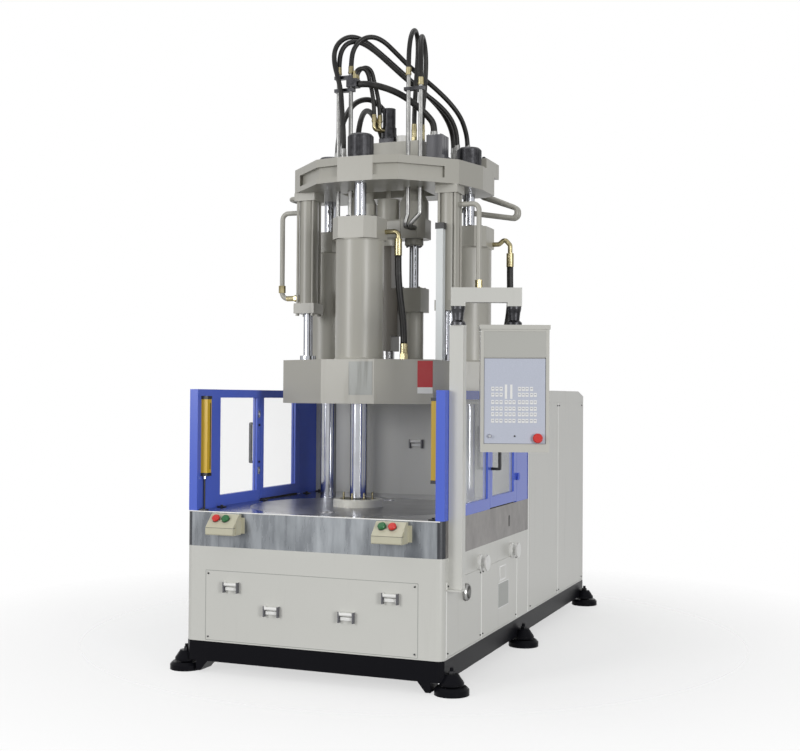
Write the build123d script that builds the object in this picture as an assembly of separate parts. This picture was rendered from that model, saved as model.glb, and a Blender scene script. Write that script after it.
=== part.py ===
from build123d import *
import math
import os

# Vertical three-bar injection moulding machine with a rotary table, in millimetres.
# X runs to the operator's right, Y from the front to the back, Z up from the floor.
# Sizes in Y are measured from the front face of the cabinet and moved to the middle at export.

# Cabinet and plinth
machine_width = 1508
rear_cabinet_depth = 1509
table_back_margin = 199
foot_height = 64
plinth_height = 109
cabinet_height = 520
apron_height = 192
rear_cabinet_height = 1396
cabinet_wall = 6
cover_sheet = 4
corner_radius = 40
plinth_chamfer = 26
panel_thickness = 3
panel_gap = 2
panel_rebate = 25
panel_bottom_lip = 8
access_panel_margin = 130.5
access_panel_offset = -6
access_panel_height = 382
side_panel_height = 389
side_panel_start = 50
side_seam = 640
side_panel_margin = 254
rear_panel_margin = 30
rear_panel_width = 728
roof_strip = 80
roof_slope_length = 160
roof_slope_drop = 36

# Plinth frame and feet
plinth_flange = 75
plinth_web = 8
foot_y_front = 60
foot_middle_margin = 194
foot_rear_margin = 60
foot_overhang = 28
lug_bottom = 50
lug_top = 104
lug_radius = 64
lug_top_radius = 36
lug_margin = 4
shoe_length = 139
shoe_slope = 45
shoe_bottom = 10
shoe_depth = 120
foot_bolt = 20
foot_bolt_clearance = 1
foot_bolt_rise = 32
foot_nut_height = 16
foot_nut_radius = 17
foot_base_radius = 91
foot_base_height = 42
foot_base_bevel = 14
foot_neck_radius = 30
bed_plate = 30
bed_half_width = 330

# Table and turntable
table_radius = 620
table_gap = 2
turntable_thickness = 56
turntable_lift = 0.3
bearing_radius = 300
bearing_width = 50
bearing_height = 26
table_axis_y = 645
injection_y = 1085
bar_clearance = 2
station_bore = 100
station_bore_depth = 12
mould_hole = 14
mould_hole_depth = 32
mould_hole_span_x = 420
mould_hole_span_y = 240
hub_radius = 145
hub_recess_radius = 107
hub_height = 45
hub_floor = 18
stud_count = 8
stud_circle = 90
stud_radius = 5
stud_height = 62

# Tie bars
rear_bar_x = 468
rear_bar_y = 1242
bar_diameter = 97
bar_upper_diameter = 70
bar_top_thread = 60
bar_bottom_thread = 80
nut_diameter = 150
nut_height = 140
nut_chamfer = 12
lower_nut_height = 90
running_fit = 0.05

# Platens
lower_platen_thickness = 190
moving_platen_bottom = 1480
moving_platen_thickness = 253
top_platen_bottom = 2765
top_platen_thickness = 143
platen_front_half = 165
platen_front_y = 475
platen_side_half = 472
platen_shoulder_y = 607
platen_waist_y = 1000
platen_boss_half = 610
platen_boss_start = 1110
platen_boss_end = 1340
platen_back_half = 550
platen_back_y = 1400
nozzle_bore = 176
nozzle_mouth = 60
nozzle_mouth_depth = 70
top_crown_half = 110
top_crown_y = 560
top_front_half = 258
top_front_y = 590
top_side_half = 532
top_side_y = 862
top_boss_half = 600
top_opening_half = 262
top_opening_front = 960
top_opening_back = 1212
riser_clearance = 6
pocket_depth = 22
pocket_height = 66
pocket_inner_x = 112
pocket_outer_x = 466

# Clamp cylinders
clamp_tube_diameter = 280
clamp_bore = 224
clamp_tube_height = 697
clamp_end_wall = 30
clamp_head_half = 138
clamp_head_chamfer = 58
clamp_head_height = 125
clamp_spigot = 24
piston_height = 88
piston_lift = 98
piston_groove = 5
piston_groove_width = 9
platen_travel = 340

# Lift cylinders
lift_x = 459
lift_y = 913
lift_top_block = 48
lift_block_half = 68
lift_tube_diameter = 116
lift_bore = 90
lift_tube_top_space = 227
lift_cap_height = 62
lift_rod_diameter = 55
lift_piston_height = 50
lift_piston_spare = 11
lift_tie_diameter = 16
lift_tie_offset = 50
lift_tie_nut = 14
lift_foot_radius = 48
lift_foot_height = 36

# Injection unit
injector_x = 170
injector_radius = 88
injector_neck_radius = 63
injector_shoulder_z = 2706
injector_neck_z = 2752
injector_ring_radius = 57
injector_ring_height = 40
injector_block_half = 90
injector_block_chamfer = 38
injector_block_height = 118
injector_bottom = 2441
crosshead_bottom = 2985
crosshead_height = 94
crosshead_half = 235
crosshead_half_depth = 50
bridge_half_depth = 80
bridge_chamfer = 10
screw_housing_radius = 70
screw_housing_top = 2731
drive_shaft_radius = 14
barrel_radius = 42
barrel_bottom = 1610
nozzle_length = 80
cover_half_x = 48
cover_half_y = 70
cover_bottom = 1800
cover_wall = 3
carriage_head_half = 72
carriage_head_height = 146
carriage_tube_radius = 60
carriage_tube_bore = 45
carriage_tube_height = 302
carriage_rod_radius = 28
carriage_piston_z = 1935
carriage_piston_height = 40
motor_radius = 40
motor_height = 214
motor_flange_half = 48
motor_flange_height = 26
filler_cap_x = 88
filler_cap_radius = 38
filler_cap_height = 40

# Risers, steel pipes and valves
riser_radius = 13
riser_left_x = (-253, -173)
riser_right_x = (202, 280)
riser_y = 890
riser_left_top = 3480
riser_right_top = (3440, 3375)
pipe_radius = 15
manifold_right = 555
manifold_left = -300
manifold_front = 1322
manifold_back = 1584
manifold_height = 92
fitting_height = 60
manifold_ports = ((405, 1400), (345, 1378), (296, 1444), (-70, 1372), (-158, 1402))
platen_ports = ((-192, 832), (-280, 938), (-148, 940))
crosshead_ports = ((172, 1068), (212, 1100))
motor_ports = ((-36, 1022, 3200), (-62, 994, 3200))
valve_port = (300, 1070)
union_height = 50
union_reach = 50
elbow_radius = 14
ferrule_radius = 22
front_elbow_x = 218
front_elbow_y = 700
front_ferrule_z = 2340
side_elbow_x = 716
side_elbow_y = 1298
side_ferrule_z = 2318
valve_width = 122
valve_depth = 120
valve_y = 1010
valve_base_height = 66
valve_body_height = 126
valve_gap = 2
ruler_x = 440
ruler_y = 810
ruler_half = 21
ruler_height = 765
ruler_cap = 36

# Guards
guard_height = 671
guard_thickness = 30
guard_post_thickness = 50
guard_side_inset = 2
guard_front_y = 20
guard_post_depth = 209
guard_window_start = 308
guard_door_start = 800
guard_rear_panel = 257
guard_rear_margin = 2
guard_stile = 42
door_rear_stile = 60
guard_bottom_rail = 62
guard_top_rail = 47
door_gap = 3
door_floor_gap = 6
pane_thickness = 5
pane_seat = 8
pane_play = 0.5
hinge_radius = 9
hinge_pin_radius = 4
hinge_offset = 10
hinge_length = 44
hinge_low_z = 1040
hinge_high_z = 1400
handle_z = 1231
handle_span = 236
handle_reach = 58
handle_section = 16
curtain_y = 80
curtain_half_y = 22
curtain_depth = 40
curtain_bottom = 1090
curtain_top = 1500
curtain_cap = 18

# Two-hand boxes and buttons
hand_box_left_x = -496
hand_box_right_x = 477
hand_box_width = 168
hand_box_bottom = 766
hand_box_top = 876
hand_box_depth = 95
hand_box_front_height = 42
hand_box_top_depth = 26
hand_box_bracket = 22
hand_box_wall = 4
button_spacing = 29
button_offset = -10
button_rise = 10
button_head_radius = 22
button_head_height = 14
button_stem_radius = 9
button_stem_length = 26
button_travel = 6
button_hole_clearance = 0.5

# Control post, arm and panel
post_axis_out = 37
post_y = 100
post_width = 75
post_depth = 50
post_bottom = 534
post_top = 1892
swivel_radius = 36
swivel_waist = 27
swivel_height = 98
arm_height = 96
arm_leg_height = 20
arm_leg_half = 38
arm_depth = 66
arm_reach = 290
arm_turn = 20
panel_width = 350
panel_height = 650
panel_depth = 150
panel_lid = 22
panel_lid_overhang = 5
panel_border = 17
panel_foot_border = 42
panel_inset = 6
arm_gap = 0.3
estop_radius = 25
estop_x = 117
estop_rise = 72
estop_height = 20
key_radius = 10
key_x = -127
key_rise = 82
key_height = 14
bobbin_radius = 44
bobbin_core = 22
bobbin_length = 48
bobbin_flange = 10
bobbin_slope = 6
bobbin_z = 605
bobbin_front_y = 610
bobbin_rear_y = 1225
gauge_radius = 46
gauge_y = 352
gauge_z = 478
gauge_depth = 22

# Power unit
tank_side_margin = 194
tank_front_margin = 151
tank_rear_margin = 158
tank_height = 420
pump_axis_height = 190
pump_motor_x = -120
pump_motor_back = 450
pump_motor_radius = 150
pump_motor_length = 460
pump_motor_foot_half = 130
pump_motor_foot_height = 70
pump_radius = 80
pump_length = 170

# Places and heights that follow from the sizes above
front_depth = platen_back_y + table_back_margin
machine_depth = front_depth + rear_cabinet_depth
rear_seam = front_depth + rear_panel_margin + rear_panel_width + panel_gap / 2
foot_y_middle = front_depth - foot_middle_margin
foot_y_rear = machine_depth - foot_rear_margin
side_panel_end = front_depth - side_panel_margin
guard_panel_end = front_depth - guard_rear_margin
guard_door_end = guard_panel_end - guard_rear_panel
access_panel_width = machine_width - 2 * access_panel_margin
plinth_top = foot_height + plinth_height
apron_bottom = plinth_top + cabinet_height
table_z = apron_bottom + apron_height
rear_top = plinth_top + rear_cabinet_height
half_width = machine_width / 2
shoe_inner = half_width - shoe_length
guard_outer_x = half_width - guard_side_inset
post_x = half_width + post_axis_out
turntable_bottom = table_z - turntable_thickness
lower_platen_top = turntable_bottom - turntable_lift - bearing_height
lower_platen_bottom = lower_platen_top - lower_platen_thickness
moving_platen_top = moving_platen_bottom + moving_platen_thickness
top_platen_top = top_platen_bottom + top_platen_thickness
clamp_tube_top = moving_platen_top + clamp_tube_height
clamp_head_top = clamp_tube_top + clamp_head_height
piston_bottom = moving_platen_top + piston_lift
lift_block_bottom = top_platen_bottom - lift_top_block
lift_piston_z = lift_block_bottom - lift_tube_top_space - lift_piston_height
lift_tube_bottom = lift_piston_z - platen_travel - lift_piston_spare
lift_cap_bottom = lift_tube_bottom - lift_cap_height
crosshead_top = crosshead_bottom + crosshead_height
arm_bottom = post_top + swivel_height
panel_top = arm_bottom - swivel_height - arm_gap
arm_end_x = post_x + arm_reach * math.cos(math.radians(arm_turn))
arm_end_y = post_y + arm_reach * math.sin(math.radians(arm_turn))
bar_places = ((0, table_axis_y), (-rear_bar_x, rear_bar_y), (rear_bar_x, rear_bar_y))
foot_places = [(s * (half_width + foot_overhang), y) for s in (-1, 1)
               for y in (foot_y_front, foot_y_middle, foot_y_rear)]


def block(x0, x1, y0, y1, z0, z1):
    """Box between two corners."""
    box = Box(x1 - x0, y1 - y0, z1 - z0)
    return Pos((x0 + x1) / 2, (y0 + y1) / 2, (z0 + z1) / 2) * box


def post(radius, z0, z1, x=0, y=0):
    """Upright cylinder."""
    return Pos(x, y, (z0 + z1) / 2) * Cylinder(radius, z1 - z0)


def prism(points, z0, z1):
    """Upright prism on a plan outline."""
    face = make_face(Polyline(*points, close=True))
    return Pos(0, 0, z0) * extrude(face, amount=z1 - z0)


def side_prism(points, x0, x1):
    """Prism along X on an outline given as (Y, Z)."""
    plane = Plane(origin=(x0, 0, 0), x_dir=(0, 1, 0), z_dir=(1, 0, 0))
    return extrude(plane * make_face(Polyline(*points, close=True)), amount=x1 - x0)


def turned(points, x=0, y=0):
    """Solid of revolution about an upright axis on a (radius, Z) outline."""
    face = Plane.XZ * make_face(Polyline(*points, close=True))
    return Pos(x, y, 0) * revolve(face, axis=Axis.Z)


def mirrored(points):
    """Left half of a plan outline added to its right half, front to back."""
    return list(points) + [(-x, y) for x, y in reversed(points)]


def bend_radii(points):
    """Radius at each inner corner of a route, as large as its two runs allow."""
    vectors = [Vector(*p) for p in points]
    radii = []
    for before, at, after in zip(vectors, vectors[1:], vectors[2:]):
        turn = math.radians((at - before).get_angle(after - at))
        shorter = min((at - before).length, (after - at).length)
        radii.append(0.45 * shorter / math.tan(turn / 2))
    return radii


def hose(name, points, diameter):
    """Round hose along a route of straight runs joined by tangent arcs."""
    radii = bend_radii(points)
    path = FilletPolyline(*points, radius=radii)
    start = Plane(origin=path @ 0, z_dir=path % 0)
    solid = sweep(start * Circle(diameter / 2), path=path)
    ideal = math.pi * diameter ** 2 / 4 * path.length
    print(name, "length", round(path.length), "smallest radius", round(min(radii)),
          "volume ratio", round(solid.volume / ideal, 4))
    return solid


def pipe(points, radius, bend):
    """Rigid pipe along a route with equal bends."""
    path = FilletPolyline(*points, radius=bend)
    start = Plane(origin=path @ 0, z_dir=path % 0)
    return sweep(start * Circle(radius), path=path)


def both_sides(solid):
    """A solid and its mirror image across the middle plane."""
    return [solid, mirror(solid, about=Plane.YZ)]


def base_frame():
    """Welded channel plinth with the bed uprights, the corner shoes and the foot lugs."""
    y0, y1 = 0, machine_depth
    ring = block(-half_width, half_width, y0, y1, foot_height, plinth_top)
    corners = [e for e in ring.edges().filter_by(Axis.Z) if e.center().Y < 1]
    ring = chamfer(corners, plinth_chamfer)
    ring -= block(-half_width + plinth_flange, half_width - plinth_flange,
                  y0 + plinth_flange, y1 - plinth_flange, foot_height, plinth_top)
    for y in (table_axis_y + 150, foot_y_middle, rear_seam):
        ring += block(-half_width + plinth_web, half_width - plinth_web,
                      y - plinth_flange / 2, y + plinth_flange / 2, foot_height, plinth_top)
    for x in (-bed_half_width, bed_half_width):
        ring += block(x - bed_plate / 2, x + bed_plate / 2, table_axis_y - plinth_flange,
                      foot_y_middle + plinth_flange / 2, foot_height, lower_platen_bottom)
    for y in (table_axis_y + 150, foot_y_middle):
        ring += block(-bed_half_width, bed_half_width, y - bed_plate / 2, y + bed_plate / 2,
                      foot_height, lower_platen_bottom)
    for side in (-1, 1):
        for y in (foot_y_front, foot_y_middle, foot_y_rear):
            ring += foot_lug(side, y)
        ring += corner_shoe(side)
    for x, y in foot_places:
        ring -= post(foot_bolt / 2 + foot_bolt_clearance, 0, plinth_top, x, y)
    return ring


def foot_lug(side, y):
    """Cone-shaped lug on the outside of the plinth for a levelling bolt."""
    x = side * (half_width + foot_overhang)
    outline = ((0, lug_bottom), (lug_radius, lug_bottom), (lug_radius, lug_bottom + 12),
               (lug_top_radius, lug_top), (0, lug_top))
    lug = turned(outline, x, y)
    inner = half_width - plinth_chamfer
    near, far = sorted((side * inner, side * (inner - machine_width)))
    return lug - block(near, far, y - machine_width, y + machine_width, foot_height, plinth_top)


def corner_shoe(side):
    """Shoe under the front of the plinth, beside a corner foot, with a sloped inner end."""
    plane = Plane(origin=(0, 0, 0), x_dir=(1, 0, 0), z_dir=(0, -1, 0))
    outer = half_width + foot_overhang - foot_base_radius - lug_margin
    outline = ((shoe_inner, foot_height), (shoe_inner + shoe_slope, shoe_bottom),
               (outer, shoe_bottom), (outer, foot_height))
    shoe = extrude(plane * make_face(Polyline(*outline, close=True)), amount=-shoe_depth)
    return shoe if side > 0 else mirror(shoe, about=Plane.YZ)


def levelling_feet():
    """Round machine mounts, each with its bolt and lock nut."""
    solids = []
    for x, y in foot_places:
        outline = ((0, 0), (foot_base_radius, 0), (foot_base_radius, foot_base_height - foot_base_bevel),
                   (foot_base_radius - foot_base_bevel, foot_base_height),
                   (foot_neck_radius, foot_base_height), (foot_neck_radius, lug_bottom),
                   (foot_bolt / 2, lug_bottom), (foot_bolt / 2, lug_top + foot_bolt_rise),
                   (0, lug_top + foot_bolt_rise))
        solids.append(turned(outline, x, y))
        nut = extrude(RegularPolygon(foot_nut_radius, 6) - Circle(foot_bolt / 2 + 0.2),
                      amount=foot_nut_height)
        solids.append(Pos(x, y, lug_top) * nut)
    return solids


def panel_seat(solid, frame, cutter_depth, through_depth):
    """Rebate and opening for a flush panel; frame places the panel centre on the surface."""
    width, height, place = frame
    solid -= place * Box(width, height, 2 * cutter_depth)
    solid -= place * Box(width - 2 * panel_rebate, height - 2 * panel_rebate, 2 * through_depth)
    return solid


def front_panel_frame():
    """Width, height and place of the front access panel."""
    z = plinth_top + panel_bottom_lip + access_panel_height / 2
    return access_panel_width, access_panel_height, Pos(access_panel_offset, 0, z) * Rot(90, 0, 0)


def side_panel_frames():
    """Width, height and place of each side panel on the right-hand side."""
    frames = []
    z = plinth_top + panel_bottom_lip + side_panel_height / 2
    spans = ((side_panel_start, side_seam - 1), (side_seam + 1, side_panel_end))
    for y0, y1 in spans:
        frames.append((y1 - y0, side_panel_height, side_place((y0 + y1) / 2, z)))
    return frames


def rear_panel_frames():
    """Width, height and place of each rear cabinet panel on the right-hand side."""
    frames = []
    z0 = plinth_top + panel_bottom_lip
    z1 = rear_top - roof_strip
    spans = ((front_depth + rear_panel_margin, rear_seam - 1),
             (rear_seam + 1, machine_depth - rear_panel_margin))
    for y0, y1 in spans:
        frames.append((y1 - y0, z1 - z0, side_place((y0 + y1) / 2, (z0 + z1) / 2)))
    return frames


def side_place(y, z):
    """Place on the right-hand side face with its local X along the machine."""
    return Plane(origin=(half_width, y, z), x_dir=(0, 1, 0), z_dir=(1, 0, 0)).location


def rounded_box(inset, z0, z1, y1):
    """Upright box of the cabinet's plan with rounded front corners, pulled in by an inset."""
    body = block(-half_width + inset, half_width - inset, inset, y1, z0, z1)
    corners = [e for e in body.edges().filter_by(Axis.Z) if e.center().Y < inset + 1]
    return fillet(corners, corner_radius - inset)


def lower_cabinet():
    """Sheet cabinet under the table, open at the top, bottom and back."""
    shell = rounded_box(0, plinth_top, apron_bottom, front_depth)
    shell -= rounded_box(cabinet_wall, plinth_top - 1, apron_bottom + 1, front_depth + 1)
    shell = panel_seat(shell, front_panel_frame(), panel_thickness, cabinet_wall + 2)
    for frame in side_panel_frames():
        shell = panel_seat(shell, frame, panel_thickness, cabinet_wall + 2)
        width, height, place = frame
        shell = panel_seat(shell, (width, height, mirror_place(place)),
                           panel_thickness, cabinet_wall + 2)
    return shell


def mirror_place(place):
    """The same place on the left-hand side."""
    position = place.position
    return Plane(origin=(-position.X, position.Y, position.Z), x_dir=(0, 1, 0),
                 z_dir=(1, 0, 0)).location


def flush_panel(frame):
    """Sheet panel that lies in its rebate with an even gap all round."""
    width, height, place = frame
    sheet = Box(width - 2 * panel_gap, height - 2 * panel_gap, panel_thickness)
    return place * (Pos(0, 0, -panel_thickness / 2) * sheet)


def front_access_panel():
    """Removable panel in the cabinet front with holes for its corner screws."""
    width, height, place = front_panel_frame()
    panel = flush_panel((width, height, place))
    for x in (-1, 1):
        for z in (-1, 1):
            hole = Pos(x * (width / 2 - 14), z * (height / 2 - 14), 0) * Cylinder(3.5, 20)
            panel -= place * hole
    return panel


def side_panels():
    """Flush panels of the cabinet and of the rear cabinet, both sides."""
    solids = []
    for frame in side_panel_frames() + rear_panel_frames():
        solids += both_sides(flush_panel(frame))
    return solids


def bow_pull():
    """Bow pull with two cheeks and a thick bar, in a frame that faces +Z."""
    pull = Pos(0, 16, 13) * Rot(0, 90, 0) * Cylinder(10, 78)
    for x in (-41, 41):
        pull += Pos(x, 0, 0) * Box(7, 58, 24, align=(Align.CENTER, Align.CENTER, Align.MIN))
    return pull


def panel_pulls():
    """Four pulls on the front panel and one on the wall behind the table."""
    places = ((-467, 477), (467, 477), (-220, 363), (220, 363))
    solids = [Pos(x, 0, z) * Rot(90, 0, 0) * bow_pull() for x, z in places]
    solids.append(Pos(0, front_depth, 1215) * Rot(90, 0, 0) * bow_pull())
    return solids


def table_cover():
    """Folded stainless cover: table surface and apron, open over the turntable."""
    cover = rounded_box(0, apron_bottom, table_z, front_depth)
    cover -= rounded_box(cover_sheet, apron_bottom - 1, table_z - cover_sheet, front_depth + 1)
    cover -= post(table_radius + table_gap, apron_bottom, table_z + 1, 0, table_axis_y)
    for x in (-rear_bar_x, rear_bar_x):
        cover -= post(bar_diameter / 2 + bar_clearance, apron_bottom, table_z + 1, x, rear_bar_y)
    return cover


def platen_outline():
    """Plan of the moving and lower platens, right half then left half."""
    right = ((platen_front_half, platen_front_y), (platen_side_half, platen_shoulder_y),
             (platen_side_half, platen_waist_y), (platen_boss_half, platen_boss_start),
             (platen_boss_half, platen_boss_end), (platen_back_half, platen_back_y))
    return mirrored(right)


def top_platen_outline(inset=0):
    """Plan of the top platen, pulled in by an inset along X and Y."""
    right = ((top_crown_half, top_crown_y + inset), (top_front_half - inset * 0.4, top_front_y + inset),
             (top_side_half - inset, top_side_y + inset * 0.4),
             (top_boss_half - inset, platen_boss_start), (top_boss_half - inset, platen_boss_end),
             (platen_back_half - 30, platen_back_y))
    return mirrored(right)


def lower_platen():
    """Fixed platen under the turntable, bored for the threaded ends of the bars."""
    platen = prism(platen_outline(), lower_platen_bottom, lower_platen_top)
    for x, y in bar_places:
        platen -= post(bar_bottom_thread / 2, lower_platen_bottom, lower_platen_top, x, y)
    ring = post(bearing_radius, lower_platen_top, lower_platen_top + bearing_height, 0, table_axis_y)
    ring -= post(bearing_radius - bearing_width, lower_platen_top,
                 lower_platen_top + bearing_height, 0, table_axis_y)
    return [platen, ring]


def tie_bars():
    """Three shouldered bars, thinner above their pistons."""
    solids = []
    top = top_platen_top + nut_height - nut_chamfer
    bottom = lower_platen_bottom - lower_nut_height
    for x, y in bar_places:
        outline = ((0, bottom), (bar_bottom_thread / 2, bottom),
                   (bar_bottom_thread / 2, lower_platen_top), (bar_diameter / 2, lower_platen_top),
                   (bar_diameter / 2, piston_bottom), (bar_upper_diameter / 2, piston_bottom),
                   (bar_upper_diameter / 2, top_platen_bottom), (bar_top_thread / 2, top_platen_bottom),
                   (bar_top_thread / 2, top), (0, top))
        solids.append(turned(outline, x, y))
    return solids


def tie_bar_nuts():
    """Round nuts above the top platen and below the lower one."""
    solids = []
    for x, y in bar_places:
        outline = ((bar_top_thread / 2, top_platen_top), (nut_diameter / 2, top_platen_top),
                   (nut_diameter / 2, top_platen_top + nut_height - nut_chamfer),
                   (nut_diameter / 2 - nut_chamfer, top_platen_top + nut_height),
                   (bar_top_thread / 2, top_platen_top + nut_height))
        solids.append(turned(outline, x, y))
        lower = post(nut_diameter / 2, lower_platen_bottom - lower_nut_height,
                     lower_platen_bottom, x, y)
        lower -= post(bar_bottom_thread / 2, lower_platen_bottom - lower_nut_height,
                      lower_platen_bottom, x, y)
        solids.append(lower)
    return solids


def clamp_pistons():
    """Pistons on the bars' shoulders with two seal grooves each."""
    solids = []
    radius = clamp_bore / 2 - running_fit
    for x, y in bar_places:
        outline = [(bar_upper_diameter / 2, piston_bottom), (radius, piston_bottom)]
        for share in (0.3, 0.7):
            z = piston_bottom + share * piston_height
            outline += [(radius, z - piston_groove_width / 2),
                        (radius - piston_groove, z - piston_groove_width / 2),
                        (radius - piston_groove, z + piston_groove_width / 2),
                        (radius, z + piston_groove_width / 2)]
        outline += [(radius, piston_bottom + piston_height),
                    (bar_upper_diameter / 2, piston_bottom + piston_height)]
        solids.append(turned(outline, x, y))
    return solids


def top_platen():
    """Crowned top platen with side pockets and the opening for the injection unit."""
    platen = prism(top_platen_outline(), top_platen_bottom, top_platen_top)
    middle = (top_platen_bottom + top_platen_top) / 2 - 8
    band = block(-machine_width, machine_width, 0, platen_boss_start, middle - pocket_height / 2,
                 middle + pocket_height / 2)
    band -= prism(top_platen_outline(pocket_depth), middle - pocket_height, middle + pocket_height)
    for side in (-1, 1):
        inner, outer = sorted((side * pocket_inner_x, side * pocket_outer_x))
        platen -= band & block(inner, outer, 0, top_side_y - 40, top_platen_bottom, top_platen_top)
    platen -= block(-top_opening_half, top_opening_half, top_opening_front, top_opening_back,
                    top_platen_bottom, top_platen_top)
    for x, y in bar_places:
        platen -= post(bar_top_thread / 2, top_platen_bottom, top_platen_top, x, y)
    for x in riser_left_x + riser_right_x:
        platen -= post(riser_radius + riser_clearance, top_platen_bottom, top_platen_top, x, riser_y)
    return platen


def moving_platen():
    """Moving platen, bored for the bars and for the nozzle."""
    platen = prism(platen_outline(), moving_platen_bottom, moving_platen_top)
    for x, y in bar_places:
        platen -= post(bar_diameter / 2 + running_fit, moving_platen_bottom, moving_platen_top, x, y)
    outline = ((0, moving_platen_bottom), (nozzle_mouth / 2, moving_platen_bottom),
               (nozzle_mouth / 2, moving_platen_bottom + nozzle_mouth_depth / 2),
               (nozzle_bore / 2, moving_platen_bottom + nozzle_mouth_depth),
               (nozzle_bore / 2, moving_platen_top), (0, moving_platen_top))
    platen -= turned(outline, 0, injection_y)
    for x in (-mould_hole_span_x / 2, mould_hole_span_x / 2):
        for y in (injection_y - mould_hole_span_y / 2, injection_y + mould_hole_span_y / 2):
            platen -= post(mould_hole / 2, moving_platen_bottom,
                           moving_platen_bottom + mould_hole_depth, x, y)
    return platen


def clamp_cylinders():
    """Tube with its end wall, and an eight-sided head with a spigot, over each bar."""
    solids = []
    gland = bar_diameter / 2 + running_fit
    upper_gland = bar_upper_diameter / 2 + running_fit
    for x, y in bar_places:
        tube = turned(((gland, moving_platen_top), (clamp_tube_diameter / 2, moving_platen_top),
                       (clamp_tube_diameter / 2, clamp_tube_top), (clamp_bore / 2, clamp_tube_top),
                       (clamp_bore / 2, moving_platen_top + clamp_end_wall),
                       (gland, moving_platen_top + clamp_end_wall)), x, y)
        half = clamp_head_half
        cut = clamp_head_half - clamp_head_chamfer
        plan = [(half, -cut), (half, cut), (cut, half), (-cut, half), (-half, cut),
                (-half, -cut), (-cut, -half), (cut, -half)]
        head = prism(plan, clamp_tube_top, clamp_head_top)
        head += post(clamp_bore / 2 - 0.1, clamp_tube_top - clamp_spigot, clamp_tube_top)
        head -= post(upper_gland, clamp_tube_top - clamp_spigot, clamp_head_top)
        solids += [tube, Pos(x, y, 0) * head]
    return solids


def lift_cylinders():
    """Two tie-rod cylinders that hang from the top platen."""
    solids = []
    for x in (-lift_x, lift_x):
        at = Pos(x, lift_y, 0)
        tube = post(lift_tube_diameter / 2, lift_tube_bottom, lift_block_bottom)
        tube -= post(lift_bore / 2, lift_tube_bottom, lift_block_bottom)
        upper = block(-lift_block_half, lift_block_half, -lift_block_half, lift_block_half,
                      lift_block_bottom, top_platen_bottom)
        lower = block(-lift_block_half, lift_block_half, -lift_block_half, lift_block_half,
                      lift_cap_bottom, lift_tube_bottom)
        lower -= post(lift_rod_diameter / 2 + running_fit, lift_cap_bottom, lift_tube_bottom)
        for dx in (-lift_tie_offset, lift_tie_offset):
            for dy in (-lift_tie_offset, lift_tie_offset):
                lower -= post(lift_tie_diameter / 2, lift_cap_bottom, lift_tube_bottom, dx, dy)
                rod = post(lift_tie_diameter / 2, lift_cap_bottom, lift_block_bottom, dx, dy)
                rod += Pos(dx, dy, lift_cap_bottom - lift_tie_nut) * extrude(
                    RegularPolygon(lift_tie_diameter * 0.8, 6), amount=lift_tie_nut)
                solids.append(at * rod)
        solids += [at * tube, at * upper, at * lower]
    return solids


def lift_rods():
    """Chromed rods with their pistons and feet on the moving platen."""
    solids = []
    for x in (-lift_x, lift_x):
        outline = ((0, moving_platen_top), (lift_foot_radius, moving_platen_top),
                   (lift_foot_radius, moving_platen_top + lift_foot_height),
                   (lift_rod_diameter / 2, moving_platen_top + lift_foot_height),
                   (lift_rod_diameter / 2, lift_piston_z),
                   (lift_bore / 2 - running_fit, lift_piston_z),
                   (lift_bore / 2 - running_fit, lift_piston_z + lift_piston_height),
                   (0, lift_piston_z + lift_piston_height))
        solids.append(turned(outline, x, lift_y))
    return solids


def injector_body(x):
    """Injection cylinder casting: ring, eight-sided block, body, shoulder and neck."""
    ring_top = injector_bottom + injector_ring_height
    block_top = ring_top + injector_block_height
    outline = ((0, injector_bottom), (injector_ring_radius - 6, injector_bottom),
               (injector_ring_radius, injector_bottom + 6), (injector_ring_radius, ring_top),
               (injector_radius, ring_top), (injector_radius, injector_shoulder_z),
               (injector_neck_radius, injector_neck_z), (injector_neck_radius, crosshead_bottom),
               (0, crosshead_bottom))
    body = turned(outline, x, injection_y)
    half, cut = injector_block_half, injector_block_half - injector_block_chamfer
    plan = [(half, -cut), (half, cut), (cut, half), (-cut, half), (-half, cut),
            (-half, -cut), (-cut, -half), (cut, -half)]
    return body + Pos(x, injection_y, 0) * prism(plan, ring_top, block_top)


def injection_housing():
    """Twin injection cylinders tied by a bridge and a crosshead, with the screw housing."""
    depth = crosshead_half_depth
    solid = block(-crosshead_half, crosshead_half, injection_y - depth, injection_y + depth,
                  crosshead_bottom, crosshead_top)
    for x in (-injector_x, injector_x):
        solid += injector_body(x)
    bridge = block(-injector_x, injector_x, injection_y - bridge_half_depth,
                   injection_y + bridge_half_depth, injector_bottom + injector_ring_height,
                   injector_bottom + injector_ring_height + injector_block_height)
    solid += chamfer(bridge.edges().filter_by(Axis.X), bridge_chamfer)
    solid += post(screw_housing_radius, injector_bottom, screw_housing_top, 0, injection_y)
    solid += post(drive_shaft_radius, screw_housing_top, crosshead_bottom, 0, injection_y)
    return solid


def injection_motor():
    """Hydraulic motor on the crosshead: flange, body and two port blocks."""
    z = crosshead_top
    half = motor_flange_half
    body = block(-half, half, injection_y - half, injection_y + half, z, z + motor_flange_height)
    body += post(motor_radius, z, z + motor_height, 0, injection_y)
    body += post(motor_radius + 6, z + motor_flange_height, z + motor_flange_height + 70,
                 0, injection_y)
    cap = post(filler_cap_radius, z, z + filler_cap_height, filler_cap_x, injection_y)
    return [body, cap]


def injection_barrel():
    """Barrel with its nozzle below the screw housing."""
    y = injection_y
    outline = ((0, barrel_bottom - nozzle_length), (8, barrel_bottom - nozzle_length),
               (22, barrel_bottom - nozzle_length + 18), (22, barrel_bottom - 20),
               (barrel_radius, barrel_bottom), (barrel_radius, injector_bottom), (0, injector_bottom))
    return turned(outline, 0, y)


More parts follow.
